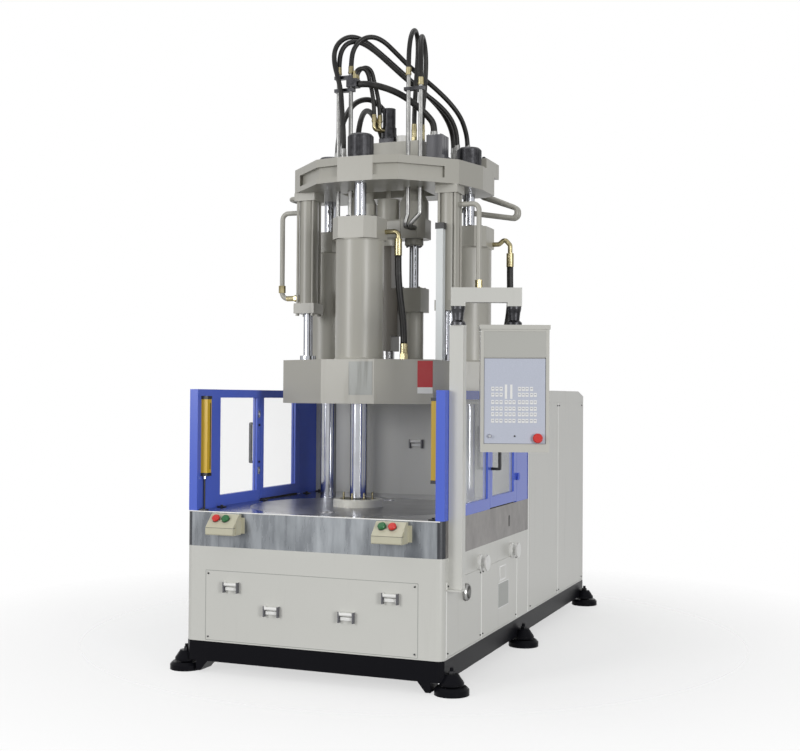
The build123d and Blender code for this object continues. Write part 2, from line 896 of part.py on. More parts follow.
def barrel_cover():
    """Sheet cover round the heated barrel, with the terminal box on its right side."""
    x, y = cover_half_x, cover_half_y
    cover = block(-x, x, injection_y - y, injection_y + y, cover_bottom, injector_bottom)
    cover -= block(-x + cover_wall, x - cover_wall, injection_y - y + cover_wall,
                   injection_y + y - cover_wall, cover_bottom, injector_bottom)
    terminal = block(x, x + 40, injection_y - y, injection_y + 20, 1890, 2180)
    return cover + terminal


def carriage_rods():
    """Rods that hang from the injection cylinders into the carriage cylinders."""
    solids = []
    for x in (-injector_x, injector_x):
        outline = ((0, carriage_piston_z), (carriage_tube_bore - running_fit, carriage_piston_z),
                   (carriage_tube_bore - running_fit, carriage_piston_z + carriage_piston_height),
                   (carriage_rod_radius, carriage_piston_z + carriage_piston_height),
                   (carriage_rod_radius, injector_bottom), (0, injector_bottom))
        solids.append(turned(outline, x, injection_y))
    return solids


def carriage_cylinders():
    """Cylinders on the moving platen that carry the injection unit."""
    solids = []
    tube_top = moving_platen_top + carriage_tube_height
    for x in (-injector_x, injector_x):
        at = Pos(x, injection_y, 0)
        tube = post(carriage_tube_radius, moving_platen_top, tube_top)
        tube -= post(carriage_tube_bore, moving_platen_top + 12, tube_top)
        head = block(-carriage_head_half, carriage_head_half, -carriage_head_half,
                     carriage_head_half, tube_top, tube_top + carriage_head_height)
        head -= post(carriage_rod_radius + running_fit, tube_top, tube_top + carriage_head_height)
        solids += [at * tube, at * head]
    return solids


def position_ruler():
    """Aluminium position ruler on the moving platen with its connector cap."""
    h = ruler_half
    top = moving_platen_top + ruler_height
    body = block(ruler_x - h, ruler_x + h, ruler_y - h, ruler_y + h, moving_platen_top, top)
    for side in (-1, 1):
        body -= block(ruler_x + side * h - 4, ruler_x + side * h + 4, ruler_y - 5, ruler_y + 5,
                      moving_platen_top, top)
    cap = block(ruler_x - h - 6, ruler_x + h + 6, ruler_y - h - 2, ruler_y + h + 2,
                top, top + ruler_cap)
    return [body, cap]


def riser_bracket(x0, x1, z, end=24):
    """Flat clamp that ties two risers together."""
    clamp = block(x0 - 24, x1 + end, riser_y - 17, riser_y + 17, z, z + 20)
    for x in (x0, x1):
        clamp -= post(riser_radius, z, z + 20, x, riser_y)
    return clamp


def hose_end(x, y, z0, z1, radius):
    """Upright hose fitting: hexagon nut below a crimped ferrule."""
    nut_top = z0 + (z1 - z0) * 0.4
    nut = Pos(0, 0, z0) * extrude(RegularPolygon(radius * 1.25, 6), amount=nut_top - z0)
    ferrule = post(radius * 1.1, nut_top, z1)
    return Pos(x, y, 0) * (nut + ferrule)


def platen_pipework():
    """Risers of the front clamp head with their clamps, and the clamp hoses' elbows."""
    solids = []
    z0 = clamp_head_top - clamp_head_height / 2
    y0 = table_axis_y + clamp_head_half
    for x, start, level in zip(riser_left_x, (-70, -34), (z0 - 30, z0 + 30)):
        route = ((start, y0, level), (start, riser_y, level), (x, riser_y, level),
                 (x, riser_y, riser_left_top))
        solids.append(pipe(route, riser_radius, 30))
    x0, x1 = riser_left_x
    z1 = riser_left_top - 35
    solids.append(riser_bracket(x0, x1, z1 + 4, 18))
    solids.append(riser_bracket(x0, x1, z1 - union_height - 24))
    union = block(x1 - 19, x1 + union_reach, riser_y - 30, riser_y + 30, z1 - union_height, z1)
    solids.append(union - post(riser_radius, z1 - union_height, z1, x1, riser_y))
    front = pipe(((clamp_head_half, front_elbow_y, 2480), (front_elbow_x, front_elbow_y, 2480),
                  (front_elbow_x, front_elbow_y, 2437)), elbow_radius, 26)
    front += post(ferrule_radius, front_ferrule_z, 2437, front_elbow_x, front_elbow_y)
    side = rear_bar_x + clamp_head_half
    right = pipe(((side, side_elbow_y, 2458), (side + 40, side_elbow_y, 2458),
                  (side + 76, side_elbow_y, 2488), (side_elbow_x, side_elbow_y, 2450),
                  (side_elbow_x, side_elbow_y, 2400)), elbow_radius, 20)
    right += post(ferrule_radius, side_ferrule_z, 2400, side_elbow_x, side_elbow_y)
    low = hose_end(240, 742, moving_platen_top, 1830, 20)
    side_low = pipe(((platen_boss_half, 1300, 1644), (656, 1300, 1644), (656, 1300, 1672)),
                    elbow_radius, 20)
    side_low += post(ferrule_radius, 1664, 1690, 656, 1300)
    return solids + [front, right, low, side_low]


def injection_pipework():
    """Risers of the right injection cylinder, the motor's elbows and the crosshead fittings."""
    solids = []
    z0 = injector_bottom + injector_ring_height + injector_block_height / 2
    block_front = injection_y - injector_block_half
    starts = (injector_x + 10, injector_x + injector_block_half - injector_block_chamfer - 14)
    for x, start, top in zip(riser_right_x, starts, riser_right_top):
        route = ((start, block_front, z0), (start, riser_y, z0), (x, riser_y, z0 + 70),
                 (x, riser_y, top))
        solids.append(pipe(route, riser_radius, 26))
    solids.append(riser_bracket(riser_right_x[0], riser_right_x[1], riser_right_top[1] - 30))
    body = post(motor_radius + 6, crosshead_top, crosshead_top + 200, 0, injection_y)
    for x, y, z in motor_ports:
        elbow = pipe(((x, y, z), (x, y, z - 46), (x * 0.4, injection_y - 30, z - 46)), 12, 20)
        solids.append(elbow - body)
    for x, y in crosshead_ports:
        solids.append(hose_end(x, y, crosshead_top, crosshead_top + fitting_height, 15))
    return solids


def steel_pipes():
    """Rigid oil pipes: the lift lines on both sides and the bank behind the right bar."""
    out = lift_x + lift_tube_diameter / 2
    far = 640
    line = pipe(((out, lift_y, 2653), (far, lift_y, 2653), (far, lift_y, 2124),
                 (out, lift_y, 2124)), pipe_radius, 40)
    solids = both_sides(line)
    edge = lift_x + lift_block_half
    z = (lift_block_bottom + top_platen_bottom) / 2
    stub = pipe(((edge, lift_y, z), (edge + 62, lift_y, z), (edge + 62, lift_y + 90, z)),
                pipe_radius, 30)
    solids.append(mirror(stub, about=Plane.YZ))
    for y, x0 in ((1452, 500), (1500, 462)):
        solids.append(pipe(((x0, y, top_platen_top), (x0, y, 2790), (712, y, 2700),
                            (712, y, 2636), (385, y, 2690), (385, y - 350, 2690),
                            (385, y - 350, top_platen_bottom)), pipe_radius, 30))
    return solids


def rear_manifold():
    """Drilled block on the back of the top platen with the fittings of its hoses."""
    z = top_platen_top + manifold_height
    solids = [block(manifold_left, manifold_right, manifold_front, manifold_back,
                    top_platen_top, z)]
    for x, y in manifold_ports:
        solids.append(hose_end(x, y, z, z + fitting_height, 15))
    for x, y in platen_ports:
        solids.append(hose_end(x, y, top_platen_top, top_platen_top + fitting_height, 15))
    x, y = valve_port
    z = top_platen_top + valve_base_height + valve_body_height
    solids.append(hose_end(x, y, z, z + fitting_height / 2, 20))
    return solids


def valve_stack():
    """Valve block with a row of directional valves, beside the opening of the top platen."""
    x0 = top_opening_half + 4
    x1 = x0 + valve_width
    y0, y1 = valve_y, valve_y + valve_depth
    z0 = top_platen_top
    z1 = z0 + valve_base_height
    solids = [block(x0, x1, y0, y1, z0, z1)]
    step = valve_depth / 3
    for row in range(3):
        y = y0 + row * step
        solids.append(block(x0 + 6, x1 - 14, y + valve_gap, y + step - valve_gap,
                            z1, z1 + valve_body_height))
    return solids


def rear_cabinet():
    """Tall rear cabinet with a sloped roof edge, open to the plinth below."""
    shell = side_prism(((front_depth, plinth_top), (machine_depth, plinth_top),
                        (machine_depth, rear_top - roof_slope_drop),
                        (machine_depth - roof_slope_length, rear_top), (front_depth, rear_top)),
                       -half_width, half_width)
    w = cabinet_wall
    shell -= side_prism(((front_depth + w, plinth_top - 1), (machine_depth - w, plinth_top - 1),
                         (machine_depth - w, rear_top - roof_slope_drop - w),
                         (machine_depth - roof_slope_length - w, rear_top - w),
                         (front_depth + w, rear_top - w)), -half_width + w, half_width - w)
    for frame in rear_panel_frames():
        width, height, place = frame
        shell = panel_seat(shell, frame, panel_thickness, cabinet_wall + 2)
        shell = panel_seat(shell, (width, height, mirror_place(place)),
                           panel_thickness, cabinet_wall + 2)
    return shell


def power_unit():
    """Oil tank on the plinth with the electric motor and the pump on its lid."""
    tank_top = plinth_top + tank_height
    side = half_width - tank_side_margin
    front = front_depth + tank_front_margin
    tank = block(-side, side, front, machine_depth - tank_rear_margin, plinth_top, tank_top)
    y = front + pump_motor_back
    axis = Pos(pump_motor_x, y, tank_top + pump_axis_height) * Rot(0, 90, 0)
    motor = axis * Cylinder(pump_motor_radius, pump_motor_length)
    foot = pump_motor_length / 2 - 50
    motor += block(pump_motor_x - foot, pump_motor_x + foot, y - pump_motor_foot_half,
                   y + pump_motor_foot_half, tank_top, tank_top + pump_motor_foot_height)
    pump = axis * Pos(0, 0, (pump_motor_length + pump_length) / 2)
    pump = pump * Cylinder(pump_radius, pump_length)
    return [tank, motor, pump]


def window_frame(y0, y1, window_y0, window_y1, z0, z1):
    """Right-hand guard leaf with one window and a groove for its pane."""
    inner = guard_outer_x - guard_thickness
    leaf = block(inner, guard_outer_x, y0, y1, z0, z1)
    z_low, z_high = z0 + guard_bottom_rail, z1 - guard_top_rail
    leaf -= block(inner, guard_outer_x, window_y0, window_y1, z_low, z_high)
    middle = guard_outer_x - guard_thickness / 2
    groove = pane_thickness / 2 + pane_play
    seat = pane_seat + pane_play
    leaf -= block(middle - groove, middle + groove, window_y0 - seat, window_y1 + seat,
                  z_low - seat, z_high + seat)
    return leaf


def window_pane(window_y0, window_y1, z0, z1):
    """Pane that sits on the floor of its groove."""
    middle = guard_outer_x - guard_thickness / 2
    seat = pane_seat + pane_play
    return block(middle - pane_thickness / 2, middle + pane_thickness / 2,
                 window_y0 - pane_seat, window_y1 + pane_seat,
                 z0 + guard_bottom_rail - seat, z1 - guard_top_rail + pane_seat)


def front_window_end():
    """Rear edge of the window in a front guard."""
    return guard_door_start - door_gap - guard_stile


def guard_frames():
    """Front guards with their deep posts, rear guards and lower hinge halves."""
    top = table_z + guard_height
    front = window_frame(guard_front_y + guard_post_depth, guard_door_start - door_gap,
                         guard_window_start, front_window_end(), table_z, top)
    front += block(guard_outer_x - guard_post_thickness, guard_outer_x, guard_front_y,
                   guard_front_y + guard_post_depth, table_z, top)
    inner = guard_outer_x - guard_thickness
    rear = block(inner, guard_outer_x, guard_door_end + door_gap, guard_panel_end, table_z, top)
    rear -= block(inner + 6, guard_outer_x - 6, guard_door_end + door_gap + 6,
                  guard_panel_end - 6, table_z + 6, top - 6)
    for z in (hinge_low_z, hinge_high_z):
        rear += hinge_half(z - hinge_length / 2, z, 1)
        rear += post(hinge_pin_radius, z - hinge_length / 2, z + hinge_length / 2 - 2,
                     hinge_x(), hinge_y())
    return both_sides(front) + both_sides(rear)


def hinge_x():
    """Distance of a door's hinge axis from the middle plane."""
    return guard_outer_x + hinge_offset


def hinge_y():
    """Place of a door's hinge axis along the machine."""
    return guard_door_end + door_gap / 2


def hinge_half(z0, z1, direction):
    """Knuckle and leaf of a lift-off hinge; direction is +1 for the leaf behind the axis."""
    knuckle = post(hinge_radius, z0, z1, hinge_x(), hinge_y())
    y0, y1 = sorted((hinge_y() + direction * 2, hinge_y() + direction * 36))
    leaf = block(guard_outer_x - 2, guard_outer_x + 4, y0, y1, z0, z1)
    return knuckle + leaf


def guard_windows():
    """Clear panes of the two front guards."""
    top = table_z + guard_height
    return both_sides(window_pane(guard_window_start, front_window_end(), table_z, top))


def door_heights():
    """Bottom and top of a side door."""
    return table_z + door_floor_gap, table_z + guard_height


def right_door():
    """Side door leaf with its upper hinge halves and a bow handle."""
    z0, z1 = door_heights()
    y0, y1 = guard_door_start, guard_door_end
    leaf = window_frame(y0, y1, y0 + guard_stile, y1 - door_rear_stile, z0, z1)
    for z in (hinge_low_z, hinge_high_z):
        leaf += hinge_half(z + 1, z + hinge_length / 2, -1)
        leaf -= post(hinge_pin_radius + 0.1, z - hinge_length, z + hinge_length / 2 - 1,
                     hinge_x(), hinge_y())
        leaf -= post(hinge_radius + 1, z - hinge_length / 2 - 2, z + 0.5, hinge_x(), hinge_y())
    return [leaf, bow_handle(y0 + guard_stile / 2)]


def bow_handle(y):
    """Square bow handle on the outer face of a door."""
    s = handle_section / 2
    x0, x1 = guard_outer_x, guard_outer_x + handle_reach
    z0, z1 = handle_z - handle_span / 2, handle_z + handle_span / 2
    handle = block(x1 - handle_section, x1, y - s, y + s, z0 - s, z1 + s)
    for z in (z0, z1):
        handle += block(x0, x1, y - s, y + s, z - s, z + s)
    outer = [e for e in handle.edges().filter_by(Axis.Y) if e.center().X > x1 - 1]
    return fillet(outer, handle_section * 0.6)


def door_pane():
    """Clear pane of the right-hand door."""
    z0, z1 = door_heights()
    return window_pane(guard_door_start + guard_stile, guard_door_end - door_rear_stile, z0, z1)


def light_curtains():
    """Yellow light curtain bars with black end caps on the front guard posts."""
    x1 = guard_outer_x - guard_post_thickness
    x0 = x1 - curtain_depth
    y0, y1 = curtain_y - curtain_half_y, curtain_y + curtain_half_y
    bar = block(x0, x1, y0, y1, curtain_bottom, curtain_top)
    solids = both_sides(bar)
    for z in (curtain_bottom - curtain_cap, curtain_top):
        solids += both_sides(block(x0 - 2, x1, y0 - 2, y1 + 2, z, z + curtain_cap))
    lead = post(5, table_z, curtain_bottom - curtain_cap, x1 - 12, curtain_y)
    solids += both_sides(lead)
    return solids


def hand_box_slope():
    """Place on the sloped face of the box at X = 0, local Z outwards."""
    y0, z0 = -hand_box_depth, hand_box_bottom + hand_box_front_height
    y1, z1 = -hand_box_top_depth, hand_box_top
    normal = (0, -(z1 - z0), y1 - y0)
    return Plane(origin=(0, (y0 + y1) / 2, (z0 + z1) / 2), x_dir=(1, 0, 0), z_dir=normal)


def button_place(dx):
    """Place of a button on the sloped face, local Z outwards."""
    return hand_box_slope().location * Pos(dx + button_offset, button_rise, 0)


def two_hand_boxes():
    """Hollow wedge boxes for the two-hand start buttons, each with its side bracket."""
    solids = []
    w = hand_box_wall
    for x in (hand_box_left_x, hand_box_right_x):
        outline = ((0, hand_box_bottom), (0, hand_box_top), (-hand_box_top_depth, hand_box_top),
                   (-hand_box_depth, hand_box_bottom + hand_box_front_height),
                   (-hand_box_depth, hand_box_bottom))
        box = side_prism(outline, -hand_box_width / 2, hand_box_width / 2)
        box = fillet(box.edges().filter_by(Axis.X).group_by(Axis.Y)[0], 8)
        box -= side_prism(((-w, hand_box_bottom + w), (-w, hand_box_top - w),
                           (-hand_box_top_depth, hand_box_top - w - 3),
                           (-hand_box_depth + w, hand_box_bottom + hand_box_front_height - 4),
                           (-hand_box_depth + w, hand_box_bottom + w)),
                          -hand_box_width / 2 + w, hand_box_width / 2 - w)
        for dx in (-button_spacing, button_spacing):
            box -= button_place(dx) * Cylinder(button_stem_radius + button_hole_clearance, 30)
        side = hand_box_width / 2
        box += block(side, side + hand_box_bracket, -w, 0, hand_box_bottom + 6, hand_box_top - 18)
        box += block(side, side + w, -hand_box_depth * 0.7, 0, hand_box_bottom + 6, hand_box_top - 30)
        solids.append(Pos(x, 0, 0) * box)
    return solids


def hand_button(x, dx):
    """Mushroom button with its stem in the box's sloped face, raised by its travel."""
    lift = button_travel + 0.5
    outline = ((0, -button_stem_length), (button_stem_radius, -button_stem_length),
               (button_stem_radius, lift), (button_head_radius, lift),
               (button_head_radius, lift + button_head_height * 0.6),
               (button_head_radius * 0.75, lift + button_head_height), (0, lift + button_head_height))
    button = revolve(Plane.XZ * make_face(Polyline(*outline, close=True)), axis=Axis.Z)
    return Pos(x, 0, 0) * (button_place(dx) * button)


def control_post():
    """Hollow post beside the cabinet with its base flange and lower swivel."""
    x0, x1 = half_width, half_width + post_width
    y0, y1 = post_y - post_depth / 2, post_y + post_depth / 2
    column = block(x0, x1, y0, y1, post_bottom, post_top)
    column -= block(x0 + 4, x1 - 4, y0 + 4, y1 - 4, post_bottom + 8, post_top - 8)
    flange = block(x0, x1 + 6, y0 - 30, y1 + 6, post_bottom - 8, post_bottom)
    return [column + flange, swivel(post_x, post_top)]


def swivel(x, z):
    """Waisted swivel spool."""
    top = z + swivel_height - arm_gap
    outline = ((0, z), (swivel_radius + 4, z), (swivel_radius + 4, z + 14),
               (swivel_waist, z + 26), (swivel_waist + 4, z + 64), (swivel_radius, z + 84),
               (swivel_radius, top), (0, top))
    return turned(outline, x, post_y)


def swing_arm():
    """Box-section arm with a leg at each end and the swivel that carries the panel."""
    z0, z1 = arm_bottom, arm_bottom + arm_height
    x1 = arm_reach + arm_leg_half
    half = arm_depth / 2
    arm = block(-arm_leg_half, x1, -half, half, z0, z1)
    arm -= block(arm_leg_half, arm_reach - arm_leg_half, -half, half, z0, z0 + arm_leg_height)
    arm = fillet(arm.edges().filter_by(Axis.Z), 6)
    spool = Pos(arm_reach - post_x, -post_y, 0) * swivel(post_x, z0 - swivel_height + arm_gap)
    place = Pos(post_x, post_y, 0) * Rot(0, 0, arm_turn)
    return [place * arm, place * spool]


def panel_place():
    """Place of the panel: on its pivot, in line with the arm."""
    return Pos(arm_end_x, arm_end_y, 0) * Rot(0, 0, arm_turn)


def control_panel():
    """Panel case with a lid and a border round the sunk membrane plate."""
    w, d = panel_width / 2, panel_depth / 2
    z1 = panel_top
    z0 = z1 - panel_height
    case = block(-w, w, -d, d, z0, z1 - panel_lid)
    case -= block(-w + panel_border, w - panel_border, -d, -d + panel_inset,
                  z0 + panel_foot_border, z1 - panel_lid - 12)
    case += block(-w - panel_lid_overhang, w + panel_lid_overhang, -d - panel_lid_overhang, d,
                  z1 - panel_lid, z1)
    for x, rise, radius in ((estop_x, estop_rise, estop_radius), (key_x, key_rise, key_radius)):
        case -= Pos(x, -d, z0 + rise) * Rot(90, 0, 0) * Cylinder(radius * 0.6 + 0.5, 100)
    return panel_place() * case


def face_control(x, rise, head, height, lift):
    """Turned control on the panel face with its stem in the case."""
    outline = ((0, -36), (head * 0.6, -36), (head * 0.6, lift), (head, lift),
               (head, lift + height * 0.7), (head * 0.8, lift + height), (0, lift + height))
    knob = revolve(Plane.XZ * make_face(Polyline(*outline, close=True)), axis=Axis.Z)
    z = panel_top - panel_height + rise
    seat = Pos(x, -panel_depth / 2 + panel_inset, z) * Rot(90, 0, 0)
    return panel_place() * (seat * knob)


def cable_bobbins():
    """Flanged rollers on the right-hand side, above the cabinet panels."""
    solids = []
    for y in (bobbin_front_y, bobbin_rear_y):
        outline = ((0, 0), (bobbin_radius, 0), (bobbin_radius, bobbin_flange),
                   (bobbin_core, bobbin_flange + bobbin_slope), (bobbin_core, bobbin_length - bobbin_flange - bobbin_slope),
                   (bobbin_radius, bobbin_length - bobbin_flange), (bobbin_radius, bobbin_length),
                   (0, bobbin_length))
        roller = revolve(Plane.XZ * make_face(Polyline(*outline, close=True)), axis=Axis.Z)
        solids.append(Pos(half_width, y, bobbin_z) * Rot(0, 90, 0) * roller)
    return solids


def side_gauge():
    """Round dial on the front side panel: a ring round a sunk face."""
    outline = ((0, 0), (gauge_radius, 0), (gauge_radius, gauge_depth * 0.6),
               (gauge_radius * 0.86, gauge_depth), (gauge_radius * 0.72, gauge_depth),
               (gauge_radius * 0.66, gauge_depth * 0.4), (0, gauge_depth * 0.4))
    dial = revolve(Plane.XZ * make_face(Polyline(*outline, close=True)), axis=Axis.Z)
    return Pos(half_width, gauge_y, gauge_z) * Rot(0, 90, 0) * dial


def rotary_table():
    """Turntable disc with two mould stations."""
    disc = post(table_radius, turntable_bottom, table_z, 0, table_axis_y)
    disc -= post(bar_diameter / 2 + bar_clearance, turntable_bottom, table_z, 0, table_axis_y)
    reach = injection_y - table_axis_y
    for side in (-1, 1):
        station = table_axis_y + side * reach
        disc -= post(station_bore / 2, table_z - station_bore_depth, table_z, 0, station)
        for x in (-mould_hole_span_x / 2, mould_hole_span_x / 2):
            for y in (station - mould_hole_span_y / 2, station + mould_hole_span_y / 2):
                disc -= post(mould_hole / 2, table_z - mould_hole_depth, table_z, x, y)
    return disc


def centre_hub():
    """Flanged ring round the front bar, with its ring of studs."""
    hub = post(hub_radius, table_z, table_z + hub_height)
    hub = chamfer(hub.edges().group_by(Axis.Z)[-1], 6)
    hub -= post(hub_recess_radius, table_z + hub_floor, table_z + hub_height)
    hub -= post(bar_diameter / 2 + bar_clearance, table_z, table_z + hub_height)
    solids = [Pos(0, table_axis_y, 0) * hub]
    for place in PolarLocations(stud_circle, stud_count):
        stud = post(stud_radius, table_z + hub_floor, table_z + hub_floor + stud_height)
        solids.append(Pos(0, table_axis_y, 0) * place * stud)
    return solids


# Hose routes: diameter and the points chosen along each real hose
hose_routes = {
    "overhead_hose_rear": (30, (
        (-173, 890, 3480), (-173, 890, 3556), (-162, 898, 3634), (-122, 918, 3692),
        (-63, 946, 3715), (-7, 996, 3696), (48, 1056, 3636), (112, 1112, 3562),
        (194, 1164, 3487), (274, 1212, 3413), (342, 1262, 3338), (387, 1322, 3262),
        (402, 1374, 3184), (405, 1400, 3116), (405, 1400, 3060))),
    "overhead_hose_front": (30, (
        (-253, 890, 3480), (-253, 890, 3558), (-242, 898, 3634), (-206, 918, 3684),
        (-146, 948, 3692), (-68, 994, 3644), (20, 1048, 3558), (102, 1104, 3476),
        (186, 1168, 3404), (262, 1238, 3342), (316, 1304, 3276), (341, 1352, 3204),
        (345, 1378, 3128), (345, 1378, 3060))),
    "left_loop_hose": (30, (
        (-192, 832, 2968), (-192, 832, 3060), (-198, 834, 3160), (-208, 836, 3262),
        (-216, 840, 3362), (-240, 846, 3452), (-268, 852, 3540), (-276, 866, 3626),
        (-250, 898, 3694), (-194, 944, 3730), (-126, 1002, 3706), (-44, 1060, 3632),
        (40, 1118, 3550), (120, 1178, 3470), (196, 1244, 3396), (256, 1318, 3320),
        (288, 1390, 3240), (296, 1444, 3152), (296, 1444, 3060))),
    "motor_hose_rear": (26, (
        (-140, 906, 3445), (-140, 906, 3478), (-125, 908, 3506), (-96, 915, 3508),
        (-68, 936, 3468), (-48, 968, 3406), (-38, 1000, 3338), (-36, 1022, 3266),
        (-36, 1022, 3200))),
    "motor_hose_front": (26, (
        (-140, 874, 3445), (-140, 874, 3474), (-127, 877, 3499), (-102, 888, 3496),
        (-82, 910, 3452), (-70, 938, 3392), (-64, 968, 3326), (-62, 994, 3260),
        (-62, 994, 3200))),
    "hose_bundle": (40, (
        (-123, 890, 3412), (-78, 890, 3412), (-22, 904, 3402), (42, 930, 3384),
        (108, 958, 3356), (170, 984, 3316), (224, 1014, 3268), (270, 1046, 3222),
        (300, 1070, 3176), (300, 1070, 3130))),
    "hairpin_hose_left": (29, (
        (202, 890, 3440), (202, 890, 3518), (203, 894, 3598), (205, 910, 3668),
        (206, 948, 3722), (204, 1000, 3738), (199, 1046, 3704), (192, 1072, 3636),
        (186, 1078, 3552), (180, 1078, 3462), (176, 1074, 3370), (173, 1070, 3280),
        (172, 1068, 3206), (172, 1068, 3139))),
    "hairpin_hose_right": (29, (
        (280, 890, 3375), (280, 890, 3440), (279, 894, 3508), (272, 908, 3582),
        (260, 940, 3654), (249, 986, 3700), (242, 1036, 3690), (240, 1076, 3630),
        (238, 1092, 3550), (232, 1098, 3460), (224, 1102, 3370), (216, 1103, 3284),
        (212, 1100, 3208), (212, 1100, 3139))),
    "arc_hose_front": (34, (
        (-280, 938, 2968), (-280, 938, 3048), (-274, 950, 3128), (-266, 984, 3210),
        (-258, 1036, 3284), (-244, 1090, 3344), (-212, 1140, 3382), (-166, 1190, 3392),
        (-122, 1246, 3356), (-92, 1296, 3296), (-74, 1342, 3216), (-70, 1372, 3136),
        (-70, 1372, 3060))),
    "arc_hose_rear": (34, (
        (-148, 940, 2968), (-148, 940, 3044), (-150, 952, 3122), (-153, 984, 3198),
        (-157, 1034, 3262), (-162, 1096, 3300), (-166, 1168, 3312), (-168, 1244, 3292),
        (-166, 1310, 3246), (-162, 1364, 3186), (-158, 1402, 3122), (-158, 1402, 3060))),
    "clamp_hose_front": (40, (
        (218, 700, 2340), (218, 700, 2236), (224, 712, 2120), (234, 730, 2004),
        (240, 742, 1900), (240, 742, 1830))),
    "clamp_hose_right": (40, (
        (716, 1298, 2318), (716, 1298, 2236), (718, 1299, 2150), (714, 1300, 2060),
        (702, 1300, 1975), (684, 1300, 1893), (664, 1300, 1816), (656, 1300, 1745),
        (656, 1300, 1690))),
}


def save(name, solids):
    """Write one named piece or group of pieces, moved to the middle of the machine."""
    if not isinstance(solids, (list, tuple)):
        solids = [solids]
    moved = [Pos(0, -machine_depth / 2, 0) * s for s in solids]
    export_step(Compound(moved) if len(moved) > 1 else moved[0], f"parts/{name}.step")


def main():
    """Build and write every piece."""
    os.makedirs("parts", exist_ok=True)
    door = right_door()
    pane = door_pane()
    pieces = {
        "base_frame": base_frame(),
        "levelling_feet": levelling_feet(),
        "lower_cabinet": lower_cabinet(),
        "front_access_panel": front_access_panel(),
        "side_panels": side_panels(),
        "panel_pulls": panel_pulls(),
        "table_cover": table_cover(),
        "lower_platen": lower_platen(),
        "tie_bars": tie_bars() + clamp_pistons(),
        "tie_bar_nuts": tie_bar_nuts(),
        "top_platen": top_platen(),
        "lift_cylinders": lift_cylinders(),
        "steel_pipes": steel_pipes(),
        "top_manifolds": rear_manifold() + valve_stack(),
        "rear_cabinet": rear_cabinet(),
        "power_unit": power_unit(),
        "guard_frames": guard_frames(),
        "guard_windows": guard_windows(),
        "light_curtains": light_curtains(),
        "two_hand_boxes": two_hand_boxes(),
        "control_post": control_post(),
        "side_fittings": cable_bobbins() + [side_gauge()],
        "right_door": door,
        "right_door_window": pane,
        "left_door": [mirror(s, about=Plane.YZ) for s in door],
        "left_door_window": mirror(pane, about=Plane.YZ),
        "swing_arm": swing_arm(),
        "control_panel": control_panel(),
        "emergency_stop": face_control(estop_x, estop_rise, estop_radius, estop_height,
                                       button_travel + 1),
        "key_switch": face_control(key_x, key_rise, key_radius, key_height, 1),
        "rotary_table": rotary_table(),
        "centre_hub": centre_hub(),
        "moving_platen": moving_platen(),
        "clamp_cylinders": clamp_cylinders(),
        "lift_rods": lift_rods(),
        "carriage_cylinders": carriage_cylinders(),
        "platen_pipework": platen_pipework(),
        "position_ruler": position_ruler(),
        "injection_housing": injection_housing(),
        "injection_motor": injection_motor(),
        "injection_barrel": injection_barrel(),
        "barrel_cover": barrel_cover(),
        "carriage_rods": carriage_rods(),
        "injection_pipework": injection_pipework(),
    }
    button_names = ("left_box_left_button", "left_box_right_button",
                    "right_box_left_button", "right_box_right_button")
    places = [(x, dx) for x in (hand_box_left_x, hand_box_right_x)
              for dx in (-button_spacing, button_spacing)]
    for name, (x, dx) in zip(button_names, places):
        pieces[name] = hand_button(x, dx)
    for name, (diameter, points) in hose_routes.items():
        pieces[name] = hose(name, points, diameter)
    for name, solids in pieces.items():
        save(name, solids)


main()
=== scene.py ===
import math

import bmesh
import bpy
from mathutils import Matrix, Vector


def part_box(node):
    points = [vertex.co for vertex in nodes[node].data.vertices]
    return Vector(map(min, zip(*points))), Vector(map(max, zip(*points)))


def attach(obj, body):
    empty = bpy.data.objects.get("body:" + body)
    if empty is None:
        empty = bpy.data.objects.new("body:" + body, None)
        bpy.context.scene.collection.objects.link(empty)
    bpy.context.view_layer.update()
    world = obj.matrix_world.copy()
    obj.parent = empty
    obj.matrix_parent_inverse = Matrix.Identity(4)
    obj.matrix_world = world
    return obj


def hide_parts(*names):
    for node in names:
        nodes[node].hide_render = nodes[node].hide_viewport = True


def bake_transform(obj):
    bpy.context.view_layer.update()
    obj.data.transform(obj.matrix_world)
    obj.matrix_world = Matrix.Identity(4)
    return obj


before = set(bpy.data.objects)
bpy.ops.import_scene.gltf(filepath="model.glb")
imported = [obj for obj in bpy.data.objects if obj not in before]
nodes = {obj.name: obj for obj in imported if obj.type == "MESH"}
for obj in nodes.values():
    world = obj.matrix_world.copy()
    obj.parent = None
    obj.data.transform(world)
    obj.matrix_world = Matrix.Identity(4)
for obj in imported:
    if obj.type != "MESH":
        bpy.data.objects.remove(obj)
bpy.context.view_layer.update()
scene = bpy.context.scene

# Camera: lens, place, turn, pitch and roll, as solved from the photograph
SENSOR_MM, LENS_MM = 36, 55.425
CAMERA_PLACE = (2.844, -7.4835, 1.52)
AZIMUTH, PITCH, ROLL = math.radians(21.487), math.radians(0.996), math.radians(0.379)
camera_data = bpy.data.cameras.new("camera")
camera_data.sensor_width = SENSOR_MM
camera_data.lens = LENS_MM
camera_data.clip_end = 100
camera = bpy.data.objects.new("camera", camera_data)
scene.collection.objects.link(camera)
right = Vector((math.cos(AZIMUTH), math.sin(AZIMUTH), 0))
ahead = Vector((-math.sin(AZIMUTH) * math.cos(PITCH), math.cos(AZIMUTH) * math.cos(PITCH),
                math.sin(PITCH)))
up = right.cross(ahead)
right_rolled = right * math.cos(ROLL) + up * math.sin(ROLL)
up_rolled = up * math.cos(ROLL) - right * math.sin(ROLL)
turn = Matrix((right_rolled, up_rolled, -ahead)).transposed().to_4x4()
camera.matrix_world = Matrix.Translation(CAMERA_PLACE) @ turn
scene.camera = camera

